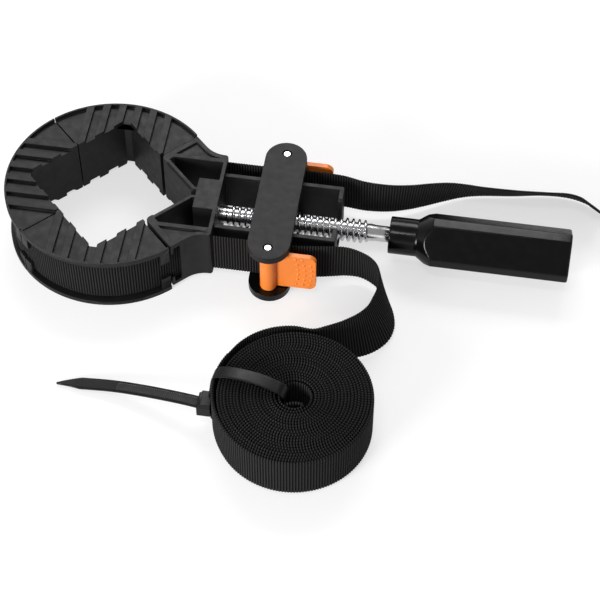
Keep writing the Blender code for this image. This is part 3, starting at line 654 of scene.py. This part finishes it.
# %% [markdown]
# ## The cam levers
#
# The orange levers trap the band. A thumb works the tab, so its outer face has a field of small
# domes, three across and six down but for one corner, in columns that bow like the tab's end does.
# They are real bumps in the mesh. The bow of the end is made by moving the copy's own points: the
# further a point lies from the middle of the tab's height, the more it draws back.

# %% Cam levers
LEVER_EDGE = 0.00022
LEVER_TURN = 32
DOME_R = 0.00080
DOME_HIGH = 0.00050
DOME_STEPS = 12
DOME_ROWS = 6
DOME_COLUMNS = 3
DOME_FROM = 0.0132
DOME_ACROSS = 0.0034
DOME_DOWN = 0.00375
DOME_TOP = 0.0024
# How far the columns bow, the row at which they bow most, and the rows from there to their ends
DOME_BOW = 0.0016
BOW_MIDDLE = 2.7
BOW_ROWS = 2.9
TAB_FROM = 0.0120
TAB_BOW = 0.0017
TAB_FACE = 0.0003


def dome(work, middle, out):
    """A low dome on a face, standing out along a direction, with its foot sunk in."""
    side = Vector((0, 0, 1))
    across = out.cross(side)
    rings = []
    levels = ((1.0, -0.35), (0.92, 0.25), (0.62, 0.75), (0.25, 0.97))
    for width, height in levels:
        ring = []
        for k in range(DOME_STEPS):
            turn = 2 * math.pi * k / DOME_STEPS
            spot = across * math.cos(turn) + side * math.sin(turn)
            ring.append(work.verts.new(middle + spot * DOME_R * width + out * DOME_HIGH * height))
        rings.append(ring)
    close_rings(work, rings)


def make_lever(side, sign):
    """Sign is 1 for the lever at the back and -1 for the one in front."""
    node = f"cam_lever_{side}"
    low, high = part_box(node)
    mesh = rounded_mesh(node, LEVER_EDGE, LEVER_TURN)
    rivet_y = sum(corner.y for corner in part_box(f"rivet_{side}")) / 2
    work = bmesh.new()
    work.from_mesh(mesh)
    middle, half = (low.z + high.z) / 2, (high.z - low.z) / 2
    for point in work.verts:
        share = max(0.0, (point.co.x - TAB_FROM) / (high.x - TAB_FROM))
        point.co.x -= TAB_BOW * share * ((point.co.z - middle) / half) ** 2
    face_y = rivet_y + sign * TAB_FACE
    for row in range(DOME_ROWS):
        bow = DOME_BOW * (1 - ((row - BOW_MIDDLE) / BOW_ROWS) ** 2)
        for column in range(DOME_COLUMNS if row else DOME_COLUMNS - 1):
            place = (DOME_FROM + bow + column * DOME_ACROSS, face_y, high.z - DOME_TOP - row * DOME_DOWN)
            dome(work, Vector(place), Vector((0, sign, 0)))
    bmesh.ops.recalc_face_normals(work, faces=work.faces)
    work.to_mesh(mesh)
    work.free()
    lever = add_piece(f"lever_{side}_moulding", mesh, ORANGE_NYLON, f"lever_{side}")
    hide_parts(node)
    return even_shading(lever)


for side, sign in (("back", 1), ("front", -1)):
    lever = make_lever(side, sign)
    print(lever.name, len(lever.data.polygons), "faces")

# %% [markdown]
# ## Webbing: the cloth
#
# Clamp webbing is woven from thick cords that cross the band and fine yarns that run along it. The
# cords make ribs a little over a millimetre apart, and each rib ends in a small knob at the edge,
# which is why a roll of webbing looks like rows of beads from above. Seen close, the yarns that
# wrap each cord break it into short strokes. The ribs are modelled. The yarns are a pattern of the
# distances along and across the band, which each band mesh keeps as an attribute. The colour is
# painted light: a painted highlight on each cord's crest, broken into strokes by painted shade
# between the yarns, and painted shade between the cords, where little light gets down.

# %% Webbing material
RIB = 0.00135
YARN = 0.00085
# Colours of the painted shade between the cords and of the painted highlight on their crests
CORD_PAINTED_SHADE = grey(0.0008)
CORD_PAINTED_HIGHLIGHT = (0.044, 0.043, 0.042)
# How much painted shade darkens the gaps between the yarns, and how narrow the painted highlight on a cord's
# crest is
YARN_PAINTED_SHADE = 0.35
CREST_POWER = 2.0
WORN_PATCHES = 900
FUZZ = 3500
FUZZ_DEPTH = 0.00007


def wave_of(tree, distance, wavelength, shift=0.0):
    """A smooth wave from 0 to 1 of a distance."""
    wave = computed(tree, "SINE", computed(tree, "MULTIPLY_ADD", distance, 2 * math.pi / wavelength, shift))
    return computed(tree, "MULTIPLY_ADD", wave, 0.5, 0.5)


def woven():
    look = bpy.data.materials.new("webbing")
    look.use_nodes = True
    tree = look.node_tree
    shader = tree.nodes["Principled BSDF"]
    shader.inputs["Specular IOR Level"].default_value = 0.08
    shader.inputs["Sheen Weight"].default_value = 0.01
    shader.inputs["Sheen Roughness"].default_value = 0.5
    place = tree.nodes.new("ShaderNodeAttribute")
    place.attribute_name = "band_place"
    parts = tree.nodes.new("ShaderNodeSeparateXYZ")
    tree.links.new(place.outputs["Vector"], parts.inputs[0])
    # Painted light: a painted highlight on each cord's crest, broken by painted shade between the yarns, over
    # painted shade between the cords
    ribs = wave_of(tree, parts.outputs["X"], RIB, -math.pi / 2)
    yarns = wave_of(tree, parts.outputs["Y"], YARN)
    stroke_painted_shade = computed(tree, "MULTIPLY_ADD", yarns, YARN_PAINTED_SHADE, 1 - YARN_PAINTED_SHADE)
    crest_painted_highlight = computed(tree, "MULTIPLY", computed(tree, "POWER", ribs, CREST_POWER), stroke_painted_shade)
    tree.links.new(between(tree, crest_painted_highlight, CORD_PAINTED_SHADE, CORD_PAINTED_HIGHLIGHT), shader.inputs["Base Color"])
    tree.links.new(ranged(tree, noise_at(tree, WORN_PATCHES), 0.66, 0.80), shader.inputs["Roughness"])
    fuzz = computed(tree, "ADD", yarns, noise_at(tree, FUZZ))
    tree.links.new(lifted(tree, fuzz, FUZZ_DEPTH), shader.inputs["Normal"])
    return look


WEBBING = woven()
print("yarns are", YARN * 1000, "mm apart")

# %% [markdown]
# ## Webbing: the shape
#
# A band is a route with a width: at each station a middle point and a vector from the lower edge
# to the upper one. The route is walked in steps of a quarter rib, and the thickness swells and
# shrinks on the way. Because every piece of the band counts its ribs from the same end, two pieces
# that overlap have their ribs in the same places.

# %% Ribbed band
BAND_W = 0.025
BAND_T = 0.0012
GAP = 0.0003
STEPS_PER_RIB = 4
RIB_DEPTH = 0.00030
KNOB = 0.00030
# Across the band: share of the width from the middle, and share of the thickness there
SECTION = ((-0.500, 0.30), (-0.490, 0.72), (-0.465, 1.0), (-0.25, 1.0), (0.0, 1.0),
           (0.25, 1.0), (0.465, 1.0), (0.490, 0.72), (0.500, 0.30))


def walked(stations):
    """The stations as arrays of distance, middle and width."""
    middle = np.array([tuple(m) for m, w in stations])
    width = np.array([tuple(w) for m, w in stations])
    steps = np.linalg.norm(np.diff(middle, axis=0), axis=1)
    return np.concatenate(([0.0], np.cumsum(steps))), middle, width


def looked_up(at, distance, table):
    return np.stack([np.interp(at, distance, table[:, axis]) for axis in range(3)], axis=1)


def unit(rows):
    return rows / np.linalg.norm(rows, axis=1)[:, None]


def swept_mesh(name, columns):
    """A closed skin over columns of points that run side by side along a route."""
    around, count = len(columns), len(columns[0])
    points = np.stack(columns, axis=1).reshape(-1, 3)
    rows = np.arange(count - 1)[:, None] * around
    ring = np.arange(around)[None, :]
    after = (ring + 1) % around
    faces = np.stack([rows + ring, rows + after, rows + around + after, rows + around + ring], axis=2)
    ends = [list(range(around))[::-1], list(range((count - 1) * around, count * around))]
    mesh = bpy.data.meshes.new(name)
    mesh.from_pydata(points.tolist(), [], faces.reshape(-1, 4).tolist() + ends)
    return mesh


def band_mesh(name, stations, start=None, end=None, thinner=0.0, section=SECTION):
    """A ribbed band between two distances along its route. Thinner takes that off each face."""
    distance, middle, width = walked(stations)
    start = 0.0 if start is None else start
    end = distance[-1] if end is None else end
    step = RIB / STEPS_PER_RIB
    at = np.arange(math.ceil(start / step), math.floor(end / step) + 1) * step
    at = np.unique(np.concatenate(([start], at, [end])))
    spot = looked_up(at, distance, middle)
    across = looked_up(at, distance, width)
    along = unit(np.gradient(spot, axis=0))
    out = unit(np.cross(along, across))
    crest = np.abs(np.sin(math.pi * at / RIB))
    half = BAND_T / 2 - thinner - RIB_DEPTH * (1 - crest)
    edge = 1 - 2 * KNOB * (1 - crest) / BAND_W - 2 * thinner / BAND_W
    loops = list(section) + [(share, -thick) for share, thick in reversed(section)]
    mesh = swept_mesh(name, [
        spot + across * (share * edge)[:, None] + out * (thick * half)[:, None] for share, thick in loops
    ])
    place = mesh.attributes.new("band_place", "FLOAT_VECTOR", "POINT")
    shares = np.array([share for share, thick in loops]) * BAND_W
    values = np.zeros((len(at), len(loops), 3), np.float32)
    values[:, :, 0] = at[:, None]
    values[:, :, 1] = shares[None, :]
    place.data.foreach_set("vector", values.ravel())
    mesh.shade_smooth()
    return mesh


def band_piece(name, mesh, body, nodes):
    piece = add_piece(name, mesh, WEBBING, body)
    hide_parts(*nodes)
    return piece


print("ribs are", RIB * 1000, "mm apart")

# %% [markdown]
# ## The band round the ring
#
# The band leaves one cam, passes a tunnel in the jaw's cheek, rounds the three pads and comes back
# through the other cheek. When the screw is let off, the pads part, and more band lies in the ring.
# So the ring's band is cut at the four seams. Each piece rides on its own pad, and a tongue of it
# reaches on inside its neighbour, a hair thinner, ready to fill the gap that opens. The straight
# runs between the jaw and the crosshead have no tongue, and each gets a mesh of its own.

# %% Band round the ring
SKIN_T = 0.0013
SKIN_R = 0.0140
TONGUE = 0.0100
HAIR = 0.00004

ring_x = sum(corner.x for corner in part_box("pad_back")) / 2
mid_z = sum(corner.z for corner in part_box("band_loop")) / 2
band_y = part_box("crosshead_core")[1].y + GAP + BAND_T / 2
band_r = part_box("band_loop")[1].y - BAND_T / 2
bend_r = SKIN_R + SKIN_T + GAP + BAND_T / 2
cheek_y = band_y + bend_r
cheek_x = (band_r + bend_r) * math.sqrt(2) - cheek_y


def arc(x, y, radius, start, end):
    """Points on an arc in plan about a point, one for every degree, with angles in degrees."""
    count = round(abs(end - start))
    turns = [math.radians(start + (end - start) * k / count) for k in range(count + 1)]
    return [(x + radius * math.cos(t), y + radius * math.sin(t)) for t in turns]


def ring_route():
    """The whole run in plan from the back cam to the front cam."""
    half = [(-ring_x, band_y)]
    half += arc(cheek_x, cheek_y, bend_r, -90, -135)
    half += arc(0, 0, band_r, 45, 180)[1:]
    whole = half + [(x, -y) for x, y in reversed(half)][1:]
    up = Vector((0, 0, BAND_W))
    return [(Vector((x + ring_x, y, mid_z)), up) for x, y in whole]


ring_stations = ring_route()
straight = -ring_x - cheek_x
to_seam = straight + bend_r * math.pi / 4
quarter = band_r * math.pi / 2
whole_run = 2 * to_seam + 3 * quarter
walked_run = walked(ring_stations)[0][-1]
scale = walked_run / whole_run
cuts = [0.0, straight * scale, to_seam * scale]
cuts += [(to_seam + quarter * k) * scale for k in (1, 2, 3)]
cuts += [(whole_run - straight) * scale, walked_run]
print("band round the ring:", round(walked_run * 1000, 1), "mm")

# %% Pieces of the band round the ring
RING_PIECES = (
    ("band_run_back", "frame", 0.0),
    ("band_jaw_back", "frame", TONGUE),
    ("band_pad_back", "pad_back", TONGUE),
    ("band_pad_far", "pad_far", TONGUE),
    ("band_pad_front", "pad_front", TONGUE),
    ("band_jaw_front", "frame", 0.0),
    ("band_run_front", "frame", 0.0),
)


def ring_piece(name, body, beyond, start, end):
    """One piece of the ring's band, with a tongue that reaches beyond its end."""
    mesh = band_mesh(name, ring_stations, start, end)
    length = end - start
    if beyond:
        work = bmesh.new()
        work.from_mesh(mesh)
        work.from_mesh(band_mesh(name + "_tongue", ring_stations, end - RIB, end + beyond, HAIR))
        work.to_mesh(mesh)
        work.free()
        length += beyond
    return band_piece(name, mesh, body, ["band_loop"])


for entry, start, end in zip(RING_PIECES, cuts, cuts[1:]):
    piece = ring_piece(*entry, start, end)
    if entry[0].startswith("band_run"):
        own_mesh(piece)
print("pieces round the ring:", len(RING_PIECES))

# %% [markdown]
# ## The free tail and the lead
#
# Both ends of the band pass their cams and go on: the tail wanders off behind the handle, and the
# lead dips to the table and bends back to the roll. Webbing on edge is stiff across its width and
# limp along it, so it keeps its edge up and sways from side to side, and it leans where nothing
# holds it. Each route is a few points chosen along the photograph: distance from the
# crosshead, distance out from the band's line, height of the lower edge, and lean in degrees.

# %% Free tail


def spline(knots, count):
    """A smooth route through the knots, with count steps between each two."""
    knots = [Vector(knot) for knot in knots]
    ends = [2 * knots[0] - knots[1]] + knots + [2 * knots[-1] - knots[-2]]
    route = []
    for a, b, c, d in zip(ends, ends[1:], ends[2:], ends[3:]):
        for k in range(count):
            t = k / count
            curve = 2 * b + (c - a) * t + (2 * a - 5 * b + 4 * c - d) * t * t
            route.append((curve + (3 * b - a - 3 * c + d) * t * t * t) / 2)
    return route + [knots[-1]]


def leaning(route):
    """Stations from (x, y, lift, lean), leaning square to the route."""
    stations = []
    for k, (x, y, lift, lean) in enumerate(route):
        after, before = route[min(k + 1, len(route) - 1)], route[max(k - 1, 0)]
        along = Vector((after[0] - before[0], after[1] - before[1], 0)).normalized()
        side = along.cross(Vector((0, 0, 1)))
        tilt = math.radians(lean)
        width = (Vector((0, 0, math.cos(tilt))) + side * math.sin(tilt)) * BAND_W
        stations.append((Vector((x, y, lift + width.z / 2)), width))
    return stations


band_low = mid_z - BAND_W / 2
TAIL = (
    (0, 0, band_low, 0), (0.014, 0.0004, band_low, 0), (0.029, 0.0007, 0.0040, 2),
    (0.041, -0.0006, 0.0036, 5), (0.053, 0.0004, 0.0030, 8), (0.063, 0.0033, 0.0023, 11),
    (0.072, 0.0071, 0.0017, 14), (0.081, 0.0109, 0.0012, 19), (0.090, 0.0137, 0.0010, 26),
    (0.099, 0.0153, 0.0009, 31), (0.116, 0.0171, 0.0009, 35), (0.130, 0.0192, 0.0009, 38),
    (0.142, 0.0198, 0.0008, 37), (0.151, 0.0172, 0.0008, 36), (0.1575, 0.0120, 0.0008, 36),
)
tail_stations = leaning(spline([(x, band_y + y, lift, lean) for x, y, lift, lean in TAIL], 16))
tail_mesh = band_mesh("band_free_tail", tail_stations)
band_piece("band_free_tail", tail_mesh, "crosshead", ["band_tail"])

# %% Lead to the roll
LEAD = (
    (0, 0, band_low, 0), (0.013, -0.0002, band_low, 1), (0.0245, -0.0018, band_low, 2),
    (0.0315, -0.0032, 0.0042, 3), (0.0375, -0.0042, 0.0039, 5), (0.044, -0.0038, 0.0034, 8),
    (0.050, -0.0013, 0.0028, 8), (0.0545, 0.0030, 0.0023, 9), (0.0575, 0.0090, 0.0017, 14),
    (0.059, 0.0155, 0.0013, 21), (0.0587, 0.0220, 0.0013, 27), (0.0565, 0.0285, 0.0011, 27),
    (0.051, 0.0350, 0.0010, 22), (0.0425, 0.0405, 0.0010, 13), (0.034, 0.0442, 0.0014, 5),
)
coil_low, coil_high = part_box("band_coil")
COIL = (coil_low + coil_high) / 2
COIL_R = (coil_high.x - coil_low.x) / 2
WRAP_FROM, WRAP_TO, WRAP_STEP = 86, 151, 13
WRAP_OFF = 0.0006
WRAP_SWAY = 0.0012


def wrap_radius(angle):
    """The lead's distance from the roll's middle where it lies loosely against the roll."""
    share = (angle - WRAP_FROM) / (WRAP_TO - WRAP_FROM)
    return COIL_R + GAP + BAND_T / 2 + WRAP_OFF + WRAP_SWAY * math.sin(math.pi * share)


lead_route = [(x, -band_y - y, lift, lean) for x, y, lift, lean in LEAD]
for angle in range(WRAP_FROM, WRAP_TO + 1, WRAP_STEP):
    turn = math.radians(angle)
    radius = wrap_radius(angle)
    lead_route.append((COIL.x + radius * math.cos(turn), COIL.y + radius * math.sin(turn), coil_low.z, 0))
lead_stations = leaning(spline(lead_route, 16))
lead = bpy.data.objects.new("band_lead_in", band_mesh("band_lead_in", lead_stations))
bpy.context.scene.collection.objects.link(lead)
lead.data.materials.append(WEBBING)
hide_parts("band_lead")
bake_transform(lead)

# %% [markdown]
# ## The roll
#
# The spare band is rolled up on edge. From above, the roll is a spiral of beaded edges. A spiral of
# one constant step looks machine made, so the turns wander by fractions of a millimetre, with some
# standing a little higher than others. The roll starts where the lead ends and stops where the
# band's inner end begins, each time at the same radius, so the band goes on without a break.

# %% Roll of spare band
COIL_HOLE = 0.0105
END_WIDE = COIL_HOLE - BAND_T
END_FROM = 160
TURNS = 18
SWELL = 0.000125
# All in degrees along the spiral: one step, the turn before it closes in, the turn in which it
# settles against the roll, and the turn at its end in which it wanders less and less
ROLL_STEP = 1.5
HOLD = 35
SETTLING = 70
CALMING = 90
# How far the turns wander in and out and up and down, and over how many degrees
WANDER, WANDER_SPAN = 0.00010, 140
RISE, RISE_SPAN = 0.00030, 260


def roll_route():
    """Stations of the spiral, from the lead's end inward."""
    whole = 360 * TURNS + END_FROM - WRAP_TO
    closing = (COIL_R - BAND_T / 2 - END_WIDE) / (whole - HOLD)
    stations = []
    outer = wrap_radius(WRAP_TO)
    for k in range(int(whole / ROLL_STEP) + 1):
        angle = k * ROLL_STEP
        share = min(1.0, angle / SETTLING)
        settle = share * share * (3 - 2 * share)
        radius = (1 - settle) * outer + settle * (COIL_R - BAND_T / 2)
        radius -= closing * max(0.0, angle - HOLD)
        loose = settle * min(1.0, (whole - angle) / CALMING)
        radius += WANDER * noise.noise(Vector((angle / WANDER_SPAN, 0.0, 3.7))) * loose
        lift = RISE * noise.noise(Vector((angle / RISE_SPAN, 5.1, 0.0))) * loose
        turn = math.radians(WRAP_TO + angle)
        middle = Vector((COIL.x + radius * math.cos(turn), COIL.y + radius * math.sin(turn), COIL.z + lift))
        stations.append((middle, Vector((0, 0, BAND_W))))
    return stations


roll_stations = roll_route()
ROLL_SECTION = ((-0.500, 0.30), (-0.488, 0.85), (-0.44, 1.0), (0.44, 1.0), (0.488, 0.85), (0.500, 0.30))
roll_mesh = band_mesh("band_roll", roll_stations, thinner=-SWELL, section=ROLL_SECTION)
band_piece("band_roll", roll_mesh, "frame", ["band_coil"])

# %% Inner end of the roll


def inner_end():
    """The band's last loose turn in the roll's hole, and the fold that it ends in."""
    step, count = 30, 13
    closing = 0.0023
    turn = []
    for k in range(count + 1):
        angle = math.radians(END_FROM + step * k)
        radius = END_WIDE - closing * k / count
        turn.append((radius * math.cos(angle), radius * math.sin(angle)))
    fold = [
        (-0.0058, -0.0044), (-0.0025, -0.0067), (0.0012, -0.0069), (0.0036, -0.0059), (0.0046, -0.0047),
        (0.0039, -0.0036), (0.0020, -0.0033), (-0.0003, -0.0037), (-0.0029, -0.0047),
    ]
    return turn + fold


curl_route = spline([(x, y, 0) for x, y in inner_end()], 12)
curl_stations = [(COIL + spot, Vector((0, 0, BAND_W))) for spot in curl_route]
curl_mesh = band_mesh("band_curl", curl_stations)
band_piece("band_curl", curl_mesh, "frame", ["band_inner_end"])

# %% [markdown]
# ## The cable tie
#
# A nylon tie holds the roll. Its strap arches up over the turns, dives into the hole and comes back
# under, into a locking head. The strap's edges are rails, and between them run fine ratchet teeth
# that the head's pawl drops into. The last part is smooth and pointed, for threading.

# %% Cable tie
TIE_W = 0.0065
TIE_T = 0.0011
TIE_ARCH = 0.0034
TIE_IN = 0.0041
TOOTH_STEP = 0.0011
TOOTH_DEEP = 0.00032
TEETH = (0.002, 0.045)
TIP_WIDE = 0.12
TIP_LONG = 0.0117
HEAD_OUT = 0.0044
HEAD_ASIDE = 0.0018
HEAD_WIDER = 0.00135
HEAD_FAR = 0.0032
HEAD_EDGE = 0.0003
HEAD_TURN = 28
TIE_CRISP = 35


def tie_loop_route():
    """The strap's way round the roll: bearing from the roll's middle, radius and height."""
    out = COIL_R + TIE_T / 2 + 0.0012
    over = coil_high.z + TIE_T / 2 + GAP
    under = coil_low.z - TIE_T / 2 - GAP
    hole = TIE_IN
    top, mid, turn = coil_high.z, COIL.z, 0.0025
    loop = [
        (176, out + 0.0012, mid), (176, out + 0.0004, mid + 0.0050), (173, out, top - 0.0027),
        (171, out - 0.0004, top - 0.0003), (170, out - 0.0018, over + 0.0003),
    ]
    for share in (0.14, 0.28, 0.43, 0.58, 0.72, 0.84, 0.93):
        lift = 4 * TIE_ARCH * share * (1 - share)
        loop.append((170 - 3 * share, out + (hole - out) * share, over + lift))
    loop += [
        (167, hole + 0.0006, over - 0.0010), (167, hole, over - 0.0035), (167, hole, mid),
        (168, hole, under + turn), (168, hole + 0.0003, under + 0.0002), (169, hole + turn, under),
        (175, (out + hole) / 2, under), (177, out - 0.0042, under), (178, out - 0.0018, under + 0.0001),
        (179, out - 0.0003, under + 0.0016), (179, out, under + 0.0039), (179, out + 0.0008, mid - 0.0050),
        (179, out + 0.0014, mid - 0.0010),
    ]
    return loop


def loop_stations():
    places = spline([(radius, z, angle) for angle, radius, z in tie_loop_route()], 6)
    stations = []
    for radius, z, angle in places:
        turn = math.radians(angle)
        middle = Vector((COIL.x + radius * math.cos(turn), COIL.y + radius * math.sin(turn), z))
        stations.append((middle, Vector((-math.sin(turn), math.cos(turn), 0)) * TIE_W))
    return stations


def strap_mesh(name, stations, toothed=(0, 0)):
    """A strap with rounded edges. Between two distances its middle carries ratchet teeth."""
    distance, middle, width = walked(stations)
    at = np.arange(0, distance[-1], TOOTH_STEP / 4)
    at = np.concatenate((at, [distance[-1]]))
    spot = looked_up(at, distance, middle)
    across = looked_up(at, distance, width)
    out = unit(np.cross(unit(np.gradient(spot, axis=0)), across))
    inside = (at > toothed[0]) & (at < toothed[1])
    tooth = np.where(inside, TOOTH_DEEP * (1 - (at / TOOTH_STEP) % 1.0), 0.0)
    half = TIE_T / 2
    section = ((-0.5, 0.45, 0), (-0.46, 0.85, 0), (-0.40, 1.0, 0), (-0.31, 1.0, 0), (-0.28, 1.0, 1),
               (0.28, 1.0, 1), (0.31, 1.0, 0), (0.40, 1.0, 0), (0.46, 0.85, 0), (0.5, 0.45, 0))
    columns = []
    for share, thick, cut in section:
        columns.append(spot + across * share + out * (thick * half - cut * tooth)[:, None])
    for share, thick in ((0.5, 0.45), (0.46, 0.85), (0.40, 1.0), (-0.40, 1.0), (-0.46, 0.85), (-0.5, 0.45)):
        columns.append(spot + across * share - out * thick * half)
    return swept_mesh(name, columns)


def tail_stations_of_tie(head):
    free = [
        (-0.0007, 0.0000, 0.0130), (-0.0072, 0.0015, 0.0120), (-0.0172, 0.0040, 0.0097),
        (-0.0322, 0.0070, 0.0067), (-0.0467, 0.0090, 0.0042), (-0.0622, 0.0095, 0.0022),
        (-0.0690, 0.0092, 0.0015), (-0.0739, 0.0086, 0.0011),
    ]
    points = spline([head + Vector(point) for point in free], 12)
    stations = []
    for k, point in enumerate(points):
        along = points[min(k + 1, len(points) - 1)] - points[max(k - 1, 0)]
        across = Vector((-along.y, along.x, 0)).normalized()
        left = (point - points[-1]).length
        taper = min(1.0, TIP_WIDE + (1 - TIP_WIDE) * left / TIP_LONG)
        stations.append((point, across * TIE_W * taper))
    return stations


def head_mesh(head):
    """The locking head: a block with a sloping back, a ledge and softened edges."""
    half = TIE_W / 2 + HEAD_WIDER
    low, ledge, high = COIL.z - 0.0048, COIL.z + 0.0012, COIL.z + 0.0038
    work = bmesh.new()
    levels = [(low, -0.0034, 0.0), (ledge, -0.0034, 0.0), (ledge, -0.0029, 0.0), (high, -0.0016, 0.0004)]
    rings = []
    for z, near, inset in levels:
        side = half - inset
        corners = [(near, -side), (HEAD_FAR, -side), (HEAD_FAR, side), (near, side)]
        rings.append([work.verts.new((head.x + x, head.y + y, z)) for x, y in corners])
    close_rings(work, rings)
    bmesh.ops.recalc_face_normals(work, faces=work.faces)
    edges = turning_edges(work, HEAD_TURN)
    bmesh.ops.bevel(work, geom=edges, offset=HEAD_EDGE, segments=2, profile=0.5, affect="EDGES")
    return mesh_of(work, "tie_head")


def make_tie():
    head = Vector((COIL.x - COIL_R - HEAD_OUT, COIL.y - HEAD_ASIDE, 0))
    work = bmesh.new()
    work.from_mesh(strap_mesh("tie_loop", loop_stations()))
    work.from_mesh(strap_mesh("tie_tail", tail_stations_of_tie(head), TEETH))
    work.from_mesh(head_mesh(head))
    tie = add_piece("cable_tie_strap", mesh_of(work, "cable_tie_strap"), TIE_NYLON, "frame")
    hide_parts("cable_tie")
    return even_shading(tie, TIE_CRISP)


tie = make_tie()
print("tie has", len(tie.data.polygons), "faces")
